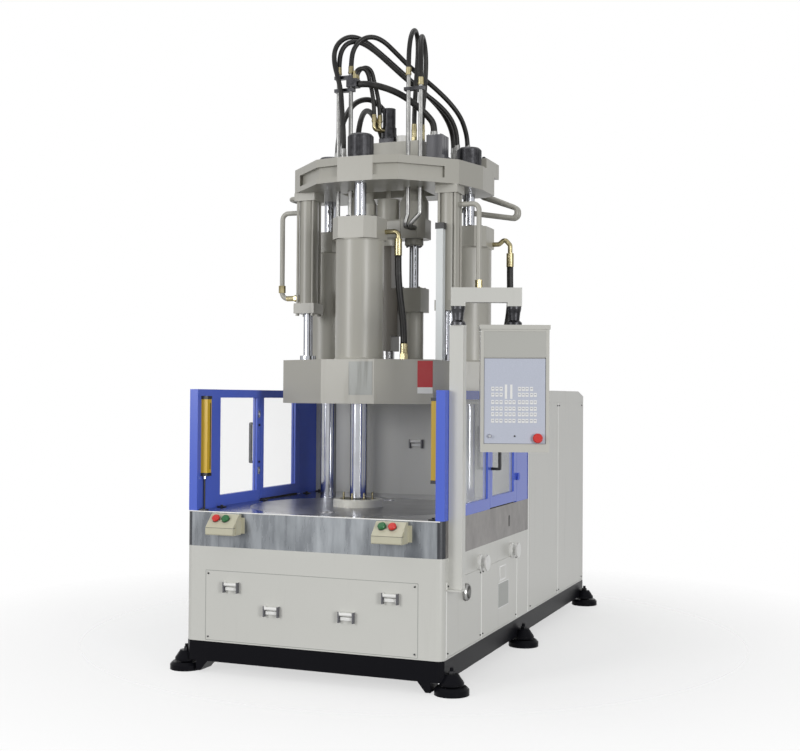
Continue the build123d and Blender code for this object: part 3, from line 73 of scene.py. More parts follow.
# Diameter and route points of each hose in metres: the solids' own runs, with the crests of
# the two motor hoses rounded
HOSES = {
    "overhead_hose_rear": (0.03, (
        (-0.173, -0.664, 3.48), (-0.173, -0.664, 3.556), (-0.162, -0.656, 3.634),
        (-0.122, -0.636, 3.692), (-0.063, -0.608, 3.715), (-0.007, -0.558, 3.696),
        (0.048, -0.498, 3.636), (0.112, -0.442, 3.562), (0.194, -0.39, 3.487),
        (0.274, -0.342, 3.413), (0.342, -0.292, 3.338), (0.387, -0.232, 3.262),
        (0.402, -0.18, 3.184), (0.405, -0.154, 3.116), (0.405, -0.154, 3.06))),
    "overhead_hose_front": (0.03, (
        (-0.253, -0.664, 3.48), (-0.253, -0.664, 3.558), (-0.242, -0.656, 3.634),
        (-0.206, -0.636, 3.684), (-0.146, -0.606, 3.692), (-0.068, -0.56, 3.644),
        (0.02, -0.506, 3.558), (0.102, -0.45, 3.476), (0.186, -0.386, 3.404),
        (0.262, -0.316, 3.342), (0.316, -0.25, 3.276), (0.341, -0.202, 3.204),
        (0.345, -0.176, 3.128), (0.345, -0.176, 3.06))),
    "left_loop_hose": (0.03, (
        (-0.192, -0.722, 2.968), (-0.192, -0.722, 3.06), (-0.198, -0.72, 3.16),
        (-0.208, -0.718, 3.262), (-0.216, -0.714, 3.362), (-0.24, -0.708, 3.452),
        (-0.268, -0.702, 3.54), (-0.276, -0.688, 3.626), (-0.25, -0.656, 3.694),
        (-0.194, -0.61, 3.73), (-0.126, -0.552, 3.706), (-0.044, -0.494, 3.632),
        (0.04, -0.436, 3.55), (0.12, -0.376, 3.47), (0.196, -0.31, 3.396), (0.256, -0.236, 3.32),
        (0.288, -0.164, 3.24), (0.296, -0.11, 3.152), (0.296, -0.11, 3.06))),
    "motor_hose_rear": (0.026, (
        (-0.14, -0.648, 3.445), (-0.14, -0.648, 3.463), (-0.133, -0.647, 3.49),
        (-0.114, -0.644, 3.511), (-0.089, -0.634, 3.521), (-0.068, -0.618, 3.511),
        (-0.058, -0.602, 3.487), (-0.052, -0.592, 3.446), (-0.044, -0.572, 3.392),
        (-0.038, -0.551, 3.332), (-0.036, -0.532, 3.264), (-0.036, -0.532, 3.2))),
    "motor_hose_front": (0.026, (
        (-0.14, -0.68, 3.445), (-0.14, -0.68, 3.46), (-0.134, -0.68, 3.484),
        (-0.118, -0.677, 3.501), (-0.097, -0.665, 3.508), (-0.082, -0.646, 3.5),
        (-0.074, -0.628, 3.476), (-0.071, -0.612, 3.436), (-0.066, -0.59, 3.386),
        (-0.063, -0.573, 3.326), (-0.062, -0.56, 3.262), (-0.062, -0.56, 3.2))),
    "hose_bundle": (0.04, (
        (-0.123, -0.664, 3.412), (-0.078, -0.664, 3.412), (-0.022, -0.65, 3.402),
        (0.042, -0.624, 3.384), (0.108, -0.596, 3.356), (0.17, -0.57, 3.316),
        (0.224, -0.54, 3.268), (0.27, -0.508, 3.222), (0.3, -0.484, 3.176), (0.3, -0.484, 3.13))),
    "hairpin_hose_left": (0.029, (
        (0.202, -0.664, 3.44), (0.202, -0.664, 3.518), (0.203, -0.66, 3.598),
        (0.205, -0.644, 3.668), (0.206, -0.606, 3.722), (0.204, -0.554, 3.738),
        (0.199, -0.508, 3.704), (0.192, -0.482, 3.636), (0.186, -0.476, 3.552),
        (0.18, -0.476, 3.462), (0.176, -0.48, 3.37), (0.173, -0.484, 3.28), (0.172, -0.486, 3.206),
        (0.172, -0.486, 3.139))),
    "hairpin_hose_right": (0.029, (
        (0.28, -0.664, 3.375), (0.28, -0.664, 3.44), (0.279, -0.66, 3.508), (0.272, -0.646, 3.582),
        (0.26, -0.614, 3.654), (0.249, -0.568, 3.7), (0.242, -0.518, 3.69), (0.24, -0.478, 3.63),
        (0.238, -0.462, 3.55), (0.232, -0.456, 3.46), (0.224, -0.452, 3.37),
        (0.216, -0.451, 3.284), (0.212, -0.454, 3.208), (0.212, -0.454, 3.139))),
    "arc_hose_front": (0.034, (
        (-0.28, -0.616, 2.968), (-0.28, -0.616, 3.048), (-0.274, -0.604, 3.128),
        (-0.266, -0.57, 3.21), (-0.258, -0.518, 3.284), (-0.244, -0.464, 3.344),
        (-0.212, -0.414, 3.382), (-0.166, -0.364, 3.392), (-0.122, -0.308, 3.356),
        (-0.092, -0.258, 3.296), (-0.074, -0.212, 3.216), (-0.07, -0.182, 3.136),
        (-0.07, -0.182, 3.06))),
    "arc_hose_rear": (0.034, (
        (-0.148, -0.614, 2.968), (-0.148, -0.614, 3.044), (-0.15, -0.602, 3.122),
        (-0.153, -0.57, 3.198), (-0.157, -0.52, 3.262), (-0.162, -0.458, 3.3),
        (-0.166, -0.386, 3.312), (-0.168, -0.31, 3.292), (-0.166, -0.244, 3.246),
        (-0.162, -0.19, 3.186), (-0.158, -0.152, 3.122), (-0.158, -0.152, 3.06))),
    "clamp_hose_front": (0.04, (
        (0.218, -0.854, 2.34), (0.218, -0.854, 2.236), (0.224, -0.842, 2.12),
        (0.234, -0.824, 2.004), (0.24, -0.812, 1.9), (0.24, -0.812, 1.83))),
    "clamp_hose_right": (0.04, (
        (0.716, -0.256, 2.318), (0.716, -0.256, 2.236), (0.718, -0.255, 2.15),
        (0.714, -0.254, 2.06), (0.702, -0.254, 1.975), (0.684, -0.254, 1.893),
        (0.664, -0.254, 1.816), (0.656, -0.254, 1.745), (0.656, -0.254, 1.69))),
}


def new_object(name, mesh):
    """Links a mesh as an object at the origin."""
    obj = bpy.data.objects.new(name, mesh)
    scene.collection.objects.link(obj)
    return obj


# ---------------------------------------------------------------- materials
def make_group(name, inputs, outputs):
    """Empty node group with the given sockets."""
    tree = bpy.data.node_groups.new(name, "ShaderNodeTree")
    kinds = {"c": "NodeSocketColor", "f": "NodeSocketFloat", "v": "NodeSocketVector"}
    for label, kind, value in inputs:
        socket = tree.interface.new_socket(label, in_out="INPUT", socket_type=kinds[kind])
        socket.default_value = value
    for label, kind in outputs:
        tree.interface.new_socket(label, in_out="OUTPUT", socket_type=kinds[kind])
    return tree, tree.nodes.new("NodeGroupInput"), tree.nodes.new("NodeGroupOutput")


def node(tree, kind, values=(), links=()):
    """Node with its input values and incoming links set."""
    made = tree.nodes.new(kind)
    for key, value in dict(values).items():
        if isinstance(key, int) or key in made.inputs:
            made.inputs[key].default_value = value
        else:
            setattr(made, key, value)
    for key, source in dict(links).items():
        tree.links.new(source, made.inputs[key])
    return made


def enamel_group():
    """Sprayed enamel: slow tone drift, faint grime runs and orange peel."""
    tree, given, out = make_group(
        "enamel_surface", (("Colour", "c", (0.5, 0.5, 0.5, 1)), ("Drift", "f", 0.05),
                           ("Grime", "f", 0.1), ("Gloss", "f", 0.35), ("Peel", "f", 0.1)),
        (("Colour", "c"), ("Roughness", "f"), ("Normal", "v")))
    place = tree.nodes.new("ShaderNodeTexCoord").outputs["Object"]
    slow = node(tree, "ShaderNodeTexNoise", {"Scale": 1.7, "Detail": 3.0}, {"Vector": place})
    runs_place = node(tree, "ShaderNodeVectorMath", {"operation": "MULTIPLY", 1: (9, 9, 0.7)},
                      {0: place})
    runs = node(tree, "ShaderNodeTexNoise", {"Scale": 2.0, "Detail": 5.0, "Roughness": 0.65},
                {"Vector": runs_place.outputs[0]})
    peel = node(tree, "ShaderNodeTexNoise", {"Scale": 420.0, "Detail": 1.0}, {"Vector": place})
    centred = node(tree, "ShaderNodeMath", {"operation": "SUBTRACT", 1: 0.5}, {0: slow.outputs[0]})
    drift = node(tree, "ShaderNodeMath", {"operation": "MULTIPLY"},
                 {0: centred.outputs[0], 1: given.outputs["Drift"]})
    bright = node(tree, "ShaderNodeMath", {"operation": "ADD", 0: 1.0}, {1: drift.outputs[0]})
    edge = node(tree, "ShaderNodeMapRange", {"From Min": 0.56, "From Max": 0.8, "To Max": 1.0},
                {"Value": runs.outputs[0]})
    soil = node(tree, "ShaderNodeMath", {"operation": "MULTIPLY"},
                {0: edge.outputs[0], 1: given.outputs["Grime"]})
    toned = node(tree, "ShaderNodeVectorMath", {"operation": "SCALE"},
                 {0: given.outputs["Colour"], "Scale": bright.outputs[0]})
    mixed = node(tree, "ShaderNodeMix", {"data_type": "RGBA", 7: (0.16, 0.145, 0.12, 1)},
                 {0: soil.outputs[0], 6: toned.outputs[0]})
    rough = node(tree, "ShaderNodeMath", {"operation": "ADD"},
                 {0: given.outputs["Gloss"], 1: soil.outputs[0]})
    bump = node(tree, "ShaderNodeBump", {"Distance": 0.0004},
                {"Height": peel.outputs[0], "Strength": given.outputs["Peel"]})
    tree.links.new(mixed.outputs[2], out.inputs["Colour"])
    tree.links.new(rough.outputs[0], out.inputs["Roughness"])
    tree.links.new(bump.outputs[0], out.inputs["Normal"])
    return tree


def streak_group():
    """Brushed or drawn metal: streaks along one axis, with a slow cloud over them."""
    tree, given, out = make_group(
        "streaked_metal", (("Dark", "c", (0.2, 0.2, 0.2, 1)), ("Light", "c", (0.6, 0.6, 0.6, 1)),
                           ("Along", "v", (60.0, 60.0, 2.0)), ("Gloss", "f", 0.25),
                           ("Vary", "f", 0.16), ("Depth", "f", 0.1)),
        (("Colour", "c"), ("Roughness", "f"), ("Normal", "v")))
    place = tree.nodes.new("ShaderNodeTexCoord").outputs["Object"]
    along = node(tree, "ShaderNodeVectorMath", {"operation": "MULTIPLY"},
                 {0: place, 1: given.outputs["Along"]})
    fine = node(tree, "ShaderNodeTexNoise", {"Scale": 1.0, "Detail": 4.0, "Roughness": 0.6},
                {"Vector": along.outputs[0]})
    broad_place = node(tree, "ShaderNodeVectorMath", {"operation": "SCALE", "Scale": 0.16},
                       {0: along.outputs[0]})
    broad = node(tree, "ShaderNodeTexNoise", {"Scale": 1.0, "Detail": 2.0},
                 {"Vector": broad_place.outputs[0]})
    both = node(tree, "ShaderNodeMath", {"operation": "ADD"},
                {0: fine.outputs[0], 1: broad.outputs[0]})
    level = node(tree, "ShaderNodeMapRange", {"From Min": 0.66, "From Max": 1.34},
                 {0: both.outputs[0]})
    mixed = node(tree, "ShaderNodeMix", {"data_type": "RGBA"},
                 {0: level.outputs[0], 6: given.outputs["Dark"], 7: given.outputs["Light"]})
    vary = node(tree, "ShaderNodeMath", {"operation": "MULTIPLY"},
                {0: fine.outputs[0], 1: given.outputs["Vary"]})
    rough = node(tree, "ShaderNodeMath", {"operation": "ADD"},
                 {0: given.outputs["Gloss"], 1: vary.outputs[0]})
    bump = node(tree, "ShaderNodeBump", {"Distance": 0.0004},
                {"Height": fine.outputs[0], "Strength": given.outputs["Depth"]})
    tree.links.new(mixed.outputs[2], out.inputs["Colour"])
    tree.links.new(rough.outputs[0], out.inputs["Roughness"])
    tree.links.new(bump.outputs[0], out.inputs["Normal"])
    return tree


def rubber_group():
    """Hose rubber and moulded plastic: dusty high spots and a fine wrapped texture."""
    tree, given, out = make_group(
        "rubber_skin", (("Colour", "c", (0.02, 0.02, 0.02, 1)), ("Dust", "f", 0.15),
                        ("Gloss", "f", 0.45), ("Depth", "f", 0.3), ("Grain", "f", 260.0)),
        (("Colour", "c"), ("Roughness", "f"), ("Normal", "v")))
    place = tree.nodes.new("ShaderNodeTexCoord").outputs["Object"]
    grain = node(tree, "ShaderNodeTexNoise", {"Detail": 2.0},
                 {"Vector": place, "Scale": given.outputs["Grain"]})
    cloud = node(tree, "ShaderNodeTexNoise", {"Scale": 14.0, "Detail": 3.0}, {"Vector": place})
    high = node(tree, "ShaderNodeMapRange", {"From Min": 0.45, "From Max": 0.8},
                {"Value": cloud.outputs[0]})
    dusty = node(tree, "ShaderNodeMath", {"operation": "MULTIPLY"},
                 {0: high.outputs[0], 1: given.outputs["Dust"]})
    mixed = node(tree, "ShaderNodeMix", {"data_type": "RGBA", 7: (0.3, 0.29, 0.26, 1)},
                 {0: dusty.outputs[0], 6: given.outputs["Colour"]})
    vary = node(tree, "ShaderNodeMath", {"operation": "MULTIPLY", 1: 0.2}, {0: grain.outputs[0]})
    rough = node(tree, "ShaderNodeMath", {"operation": "ADD"},
                 {0: given.outputs["Gloss"], 1: vary.outputs[0]})
    bump = node(tree, "ShaderNodeBump", {"Distance": 0.0006},
                {"Height": grain.outputs[0], "Strength": given.outputs["Depth"]})
    tree.links.new(mixed.outputs[2], out.inputs["Colour"])
    tree.links.new(rough.outputs[0], out.inputs["Roughness"])
    tree.links.new(bump.outputs[0], out.inputs["Normal"])
    return tree


ENAMEL, STREAKS, RUBBER = enamel_group(), streak_group(), rubber_group()


def material(name, group, values, metallic=0.0, **own):
    """Principled material whose colour, roughness and normal come from a shared group.

    The shader's own sockets take own, with _ for each blank of their names.
    """
    made = bpy.data.materials.new(name)
    made.use_nodes = True
    tree = made.node_tree
    shader = tree.nodes["Principled BSDF"]
    shader.inputs["Metallic"].default_value = metallic
    for key, value in own.items():
        shader.inputs[key.replace("_", " ")].default_value = value
    source = tree.nodes.new("ShaderNodeGroup")
    source.node_tree = group
    for key, value in values.items():
        if isinstance(value, tuple) and key != "Along":
            value = (*value, 1)
        source.inputs[key].default_value = value
    for result, socket in (("Colour", "Base Color"), ("Roughness", "Roughness"),
                           ("Normal", "Normal")):
        tree.links.new(source.outputs[result], shader.inputs[socket])
    made.diffuse_color = (*(values.get("Colour") or values["Light"]), 1)
    return made


def enamel(name, colour, gloss=0.34, grime=0.1, drift=0.07, peel=0.12, **own):
    """Painted sheet or casting."""
    return material(name, ENAMEL, {"Colour": colour, "Gloss": gloss, "Grime": grime,
                                   "Drift": drift, "Peel": peel}, **own)


def metal(name, dark, light, along, gloss, depth=0.1, vary=0.16, metallic=1.0, **own):
    """Bare metal with drawn or ground streaks; along is how fine they are on each axis."""
    return material(name, STREAKS, {"Dark": dark, "Light": light, "Along": along,
                                    "Gloss": gloss, "Vary": vary, "Depth": depth},
                    metallic, **own)


def rubber(name, colour, gloss=0.45, dust=0.15, depth=0.3, grain=260.0, **own):
    """Rubber or moulded plastic."""
    return material(name, RUBBER, {"Colour": colour, "Gloss": gloss, "Dust": dust,
                                   "Depth": depth, "Grain": grain}, **own)


def pane(name, clearness):
    """Clear sheet with faint smears; clearness is how much of what is behind it shows."""
    made = bpy.data.materials.new(name)
    made.use_nodes = True
    tree = made.node_tree
    shader = tree.nodes["Principled BSDF"]
    shader.inputs["Base Color"].default_value = (0.8, 0.82, 0.82, 1)
    shader.inputs["Alpha"].default_value = 1 - clearness
    stretched = node(tree, "ShaderNodeVectorMath", {"operation": "MULTIPLY", 1: (9, 9, 1.5)},
                     {0: tree.nodes.new("ShaderNodeTexCoord").outputs["Object"]})
    haze = node(tree, "ShaderNodeTexNoise", {"Scale": 1.0, "Detail": 4.0},
                {"Vector": stretched.outputs[0]})
    smear = node(tree, "ShaderNodeMapRange", {"To Min": 0.02, "To Max": 0.12},
                 {"Value": haze.outputs[0]})
    tree.links.new(smear.outputs[0], shader.inputs["Roughness"])
    return made


FINISHES = {
    # Paints: colour, gloss, grime, drift, peel
    "casting": enamel("casting_enamel", (0.41, 0.4, 0.355), 0.34, 0.16, 0.1, 0.2),
    "cabinet": enamel("cabinet_enamel", (0.59, 0.59, 0.555), 0.3, 0.07, 0.05, 0.05),
    "panel_case": enamel("case_enamel", (0.52, 0.515, 0.475), 0.3, 0.05, 0.05, 0.05),
    "hood": enamel("hood_enamel", (0.44, 0.44, 0.41), 0.3, 0.05, 0.05, 0.05),
    # Barrel cover: painted shade, a near-black brown standing in for the shadow that the cover
    # lies in
    "cover": enamel("shaded_cover_enamel", (0.085, 0.075, 0.06), 0.4, 0.2, 0.2, 0.2),
    # Near-white paint for painted highlights on sheet edges
    "edge": enamel("highlight_enamel", (0.92, 0.92, 0.89), 0.3, 0.0, 0.0, 0.0),
    "blue": enamel("guard_enamel", (0.085, 0.145, 0.64), 0.24, 0.03, 0.1, 0.05,
                   Specular_IOR_Level=0.3),
    "black": enamel("plinth_enamel", (0.006, 0.006, 0.008), 0.3, 0.01, 0.2, 0.25,
                    Specular_IOR_Level=0.05),
    "yellow": enamel("curtain_enamel", (0.68, 0.43, 0.012), 0.3, 0.06, 0.05, 0.05),
    "ruler": enamel("ruler_enamel", (0.66, 0.69, 0.69), 0.3, 0.03, 0.04, 0.03),
    "hub": enamel("hub_enamel", (0.6, 0.59, 0.53), 0.3, 0.2, 0.08, 0.2),
    "box": enamel("box_enamel", (0.53, 0.51, 0.385), 0.34, 0.12, 0.08, 0.1),
    "plate": enamel("plate_print", (0.3, 0.31, 0.29), 0.3, 0.35, 0.4, 0.1),
    "valve": enamel("valve_enamel", (0.1, 0.1, 0.112), 0.34, 0.2, 0.3, 0.2),
    # Metals: dark and light of the streaks, how fine they are, gloss, depth, vary
    "apron": metal("apron_steel", (0.05, 0.058, 0.07), (0.35, 0.37, 0.39), (16, 16, 2.4),
                   0.2, 0.15, metallic=0.55),
    "apron_side": metal("dull_apron_steel", (0.1, 0.092, 0.088), (0.29, 0.275, 0.265),
                        (9, 9, 7), 0.3, 0.1, metallic=0.35),
    # Folded corners of the apron: painted reflection, near-black steel in place of the dark that
    # the bent sheet reflects
    "apron_corner_painted_dark": metal("apron_corner_steel", (0.012, 0.013, 0.016), (0.06, 0.065, 0.075),
                          (16, 16, 2.4), 0.3, 0.1, metallic=0.3),
    "table": metal("table_steel", (0.13, 0.13, 0.145), (0.42, 0.42, 0.44), (5, 60, 5),
                   0.08, 0.05),
    "turned": metal("turned_steel", (0.24, 0.24, 0.25), (0.55, 0.55, 0.56), (8, 8, 150),
                    0.24, 0.1),
    "steel": metal("pipe_steel", (0.22, 0.22, 0.215), (0.4, 0.4, 0.39), (30, 30, 30),
                   0.3, 0.02, 0.08, Specular_Tint=(0.3, 0.3, 0.3, 1)),
    "chrome": metal("chromed_steel", (0.4, 0.41, 0.44), (0.5, 0.51, 0.545), (2, 2, 9),
                    0.13, 0.0, 0.03, Specular_Tint=(0.05, 0.055, 0.07, 1)),
    "dark_steel": metal("oiled_steel", (0.02, 0.02, 0.022), (0.08, 0.08, 0.085),
                        (40, 40, 40), 0.28, 0.1),
    "brass": metal("zinc_brass", (0.2, 0.17, 0.09), (0.52, 0.46, 0.28), (14, 14, 14),
                   0.24, 0.0, 0.06, Specular_Tint=(0.3, 0.25, 0.15, 1)),
    "aluminium": metal("drawn_aluminium", (0.6, 0.6, 0.6), (0.84, 0.84, 0.84), (70, 70, 2),
                       0.26, 0.1),
    # Rubbers and plastics: colour, gloss, dust, depth, grain
    "hose": rubber("hose_rubber", (0.008, 0.0075, 0.007), 0.3, 0.07, 0.5, 330.0,
                   Specular_IOR_Level=0.3),
    "gasket": rubber("black_rubber", (0.01, 0.01, 0.01), 0.5),
    "plastic": rubber("black_plastic", (0.014, 0.014, 0.015), 0.3, 0.05, 0.1),
    "red": rubber("red_plastic", (0.6, 0.02, 0.015), 0.2, 0.03, 0.08),
    "green": rubber("green_plastic", (0.01, 0.13, 0.035), 0.2, 0.03, 0.08),
    "white": rubber("white_plastic", (0.8, 0.8, 0.78), 0.32, 0.05, 0.08),
    "membrane": rubber("membrane_film", (0.5, 0.53, 0.62), 0.16, 0.04, 0.03),
    "grey_ink": rubber("grey_ink", (0.42, 0.43, 0.48), 0.3, 0.02, 0.02),
    "sign_red": rubber("sign_red", (0.5, 0.05, 0.055), 0.3, 0.05, 0.03),
    "display": rubber("dark_display", (0.03, 0.035, 0.04), 0.1, 0.02, 0.02),
    "pane": pane("clear_pane", 0.91),
    # Right-hand panes made less clear: painted reflection, standing in for the sheen they show
    # from this side
    "pane_with_painted_reflection": pane("pane_with_painted_reflection", 0.66),
}


# ---------------------------------------------------------------- hoses
# Hoses between two bodies: the bodies, and where each one's share begins
BLENDED = {
    "overhead_hose_rear": ("moving_unit", "frame", (-0.15, -0.66, 3.4), (0.4, -0.16, 3.4)),
    "overhead_hose_front": ("moving_unit", "frame", (-0.24, -0.66, 3.4), (0.34, -0.18, 3.4)),
    "hose_bundle": ("moving_unit", "frame", (-0.12, -0.664, 3.3), (0.29, -0.49, 3.3)),
    "motor_hose_rear": ("moving_unit", "injection_unit",
                        (-0.135, -0.65, 3.3), (-0.04, -0.54, 3.3)),
    "motor_hose_front": ("moving_unit", "injection_unit",
                         (-0.135, -0.68, 3.3), (-0.066, -0.57, 3.3)),
}
# Hoses with both ends on one body
RIDES = {
    "left_loop_hose": "frame", "arc_hose_front": "frame", "arc_hose_rear": "frame",
    "hairpin_hose_left": "injection_unit", "hairpin_hose_right": "injection_unit",
    "clamp_hose_front": "moving_unit", "clamp_hose_right": "moving_unit",
}


def smooth_line(name, points):
    """Points along the smooth curve whose control points are the route."""
    data = bpy.data.curves.new(name + "_line", "CURVE")
    data.dimensions = "3D"
    data.resolution_u = 10
    spline = data.splines.new("NURBS")
    spline.points.add(len(points) - 1)
    for target, place in zip(spline.points, points):
        target.co = (*place, 1)
    spline.order_u = 3
    spline.use_endpoint_u = True
    carrier = bpy.data.objects.new(name + "_line", data)
    scene.collection.objects.link(carrier)
    bpy.context.view_layer.update()
    graph = bpy.context.evaluated_depsgraph_get()
    mesh = bpy.data.meshes.new_from_object(carrier.evaluated_get(graph))
    line = [v.co.copy() for v in mesh.vertices]
    bpy.data.objects.remove(carrier)
    bpy.data.meshes.remove(mesh)
    return line


def tube(name, line, radius, sides=16):
    """Closed tube that follows a line without twisting."""
    mesh = bpy.data.meshes.new(name)
    made = bmesh.new()
    side = None
    rings = []
    for i, place in enumerate(line):
        ahead = (line[min(i + 1, len(line) - 1)] - line[max(i - 1, 0)]).normalized()
        if side is None:
            side = ahead.orthogonal().normalized()
        side = (side - ahead * side.dot(ahead)).normalized()
        other = ahead.cross(side)
        rings.append([made.verts.new(place + radius * (side * math.cos(t) + other * math.sin(t)))
                      for t in (2 * math.pi * k / sides for k in range(sides))])
    for a, b in zip(rings, rings[1:]):
        for k in range(sides):
            made.faces.new((a[k], a[(k + 1) % sides], b[(k + 1) % sides], b[k]))
    made.faces.new(rings[0][::-1])
    made.faces.new(rings[-1])
    bmesh.ops.recalc_face_normals(made, faces=made.faces)
    made.to_mesh(mesh)
    made.free()
    mesh.shade_smooth()
    return new_object(name, mesh)


for name, (diameter, points) in HOSES.items():
    line = smooth_line(name, points)
    piece = tube(name + "_skin", line, diameter / 2)
    piece.data.materials.append(FINISHES["hose"])
    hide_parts(name)
    if name in BLENDED:
        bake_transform(piece)
    else:
        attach(piece, RIDES[name])

# ---------------------------------------------------------------- finishes of the nodes
def parts_of(mesh):
    """Lowest and highest corner of the closed part that each polygon belongs to."""
    first, ids = {}, []
    for v in mesh.vertices:
        key = tuple(round(c * 20000) for c in v.co)
        ids.append(first.setdefault(key, len(first)))
    parent = list(range(len(first)))

    def root(i):
        while parent[i] != i:
            parent[i] = parent[parent[i]]
            i = parent[i]
        return i

    for polygon in mesh.polygons:
        base = root(ids[polygon.vertices[0]])
        for index in polygon.vertices[1:]:
            parent[root(ids[index])] = base
    boxes = {}
    for v, i in zip(mesh.vertices, ids):
        low, high = boxes.setdefault(root(i), ([9e9] * 3, [-9e9] * 3))
        for axis in range(3):
            low[axis] = min(low[axis], v.co[axis])
            high[axis] = max(high[axis], v.co[axis])
    return [boxes[root(ids[p.vertices[0]])] for p in mesh.polygons]


def paint(name, *keys, choose=None):
    """Gives a node its finishes; choose picks one by a polygon and its part's two corners."""
    mesh = nodes[name].data
    mesh.materials.clear()
    for key in keys:
        mesh.materials.append(FINISHES[key])
    boxes = parts_of(mesh) if choose else None
    for i, polygon in enumerate(mesh.polygons):
        polygon.material_index = int(choose(polygon, *boxes[i])) if choose else 0


PLAIN = {
    "base_frame": "black", "lower_cabinet": "cabinet", "front_access_panel": "cabinet",
    "side_panels": "cabinet", "rear_cabinet": "cabinet", "power_unit": "cabinet",
    "lower_platen": "casting", "top_platen": "casting", "moving_platen": "casting",
    "clamp_cylinders": "casting", "carriage_cylinders": "casting",
    "injection_housing": "casting", "steel_pipes": "casting", "injection_barrel": "turned",
    "rotary_table": "turned", "barrel_cover": "cover", "carriage_rods": "chrome",
    "lift_rods": "chrome", "key_switch": "chrome", "tie_bar_nuts": "dark_steel",
    "guard_frames": "blue", "right_door_window": "pane_with_painted_reflection", "left_door_window": "pane",
    "two_hand_boxes": "box", "control_panel": "panel_case", "emergency_stop": "red",
    "left_box_left_button": "red", "left_box_right_button": "green",
    "right_box_left_button": "green", "right_box_right_button": "red",
}
for name, key in PLAIN.items():
    paint(name, key)


def cover_sheet(face, low, high):
    """Top of the table cover, front of its apron, apron sides or the folded corners, which carry a
    near-black painted reflection.
    """
    x, y, z = (abs(n) for n in face.normal)
    if z > 0.5:
        return 0
    if x > 0.1 and y > 0.1:
        return 3
    return 2 if x > 0.5 else 1


def piston(face, low, high):
    """Ground piston, wider than the 96 mm bar that it is turned on."""
    return math.dist(face.center[:2], ((low[0] + high[0]) / 2, (low[1] + high[1]) / 2)) > 0.06


def shaded_pull_cheek(face, low, high):
    """Painted shade: dark cheeks at both ends of a pull's pocket, where shade falls under its lip.
    """
    return abs(face.center.x - (low[0] + high[0]) / 2) > 0.037 and face.center.z < high[2] - 0.012


def manifold_part(face, low, high):
    """Pipe stubs are steel and the block at the front right is the valve."""
    if high[0] - low[0] < 0.06:
        return 1
    return 2 if low[0] > 0.26 and high[1] < 0 else 0


def platen_pipe_part(face, low, high):
    """Flat clamps high up are dark; the low pipes' unions and the short stubs are brass."""
    if high[2] - low[2] < 0.052 and low[2] > 3:
        return 1
    return 2 if high[2] < 2.6 or high[0] - low[0] < 0.06 and high[2] < 3 else 0


def injection_pipe_part(face, low, high):
    """Flat clamps are dark and the unions between 3 and 3.25 m are brass."""
    if high[2] - low[2] < 0.03:
        return 1
    return 2 if high[2] < 3.25 and low[2] > 3 else 0


# Panes on the right side take the less clear pane, a painted reflection
paint("guard_windows", "pane", "pane_with_painted_reflection", choose=lambda face, low, high: low[0] > 0)
paint("table_cover", "table", "apron", "apron_side", "apron_corner_painted_dark", choose=cover_sheet)
paint("tie_bars", "chrome", "turned", choose=piston)
paint("levelling_feet", "black", "dark_steel",
      choose=lambda face, low, high: high[0] - low[0] < 0.1)
paint("lift_cylinders", "casting", "steel",
      choose=lambda face, low, high: high[0] - low[0] < 0.04)
paint("swing_arm", "cabinet", "dark_steel",
      choose=lambda face, low, high: face.center.z < 1.9895)
paint("control_post", "cabinet", "dark_steel",
      choose=lambda face, low, high: face.center.z > 1.893)
for side in ("right_door", "left_door"):
    paint(side, "blue", "plastic", choose=lambda face, low, high: high[1] - low[1] < 0.1)
paint("light_curtains", "yellow", "plastic",
      choose=lambda face, low, high: high[2] - low[2] < 0.3)
paint("side_fittings", "white", "steel", choose=lambda face, low, high: low[2] < 0.5)
# Pulls: white, with painted shade on the cheeks under the lip
paint("panel_pulls", "white", "valve", choose=shaded_pull_cheek)
paint("centre_hub", "hub", "brass", choose=lambda face, low, high: high[0] - low[0] < 0.05)
paint("position_ruler", "ruler", "plastic", choose=lambda face, low, high: low[2] > 2.4)
paint("injection_motor", "dark_steel", "white", choose=lambda face, low, high: low[0] > 0.04)
paint("top_manifolds", "casting", "steel", "valve", choose=manifold_part)
paint("platen_pipework", "steel", "dark_steel", "brass", choose=platen_pipe_part)
paint("injection_pipework", "steel", "dark_steel", "brass", choose=injection_pipe_part)


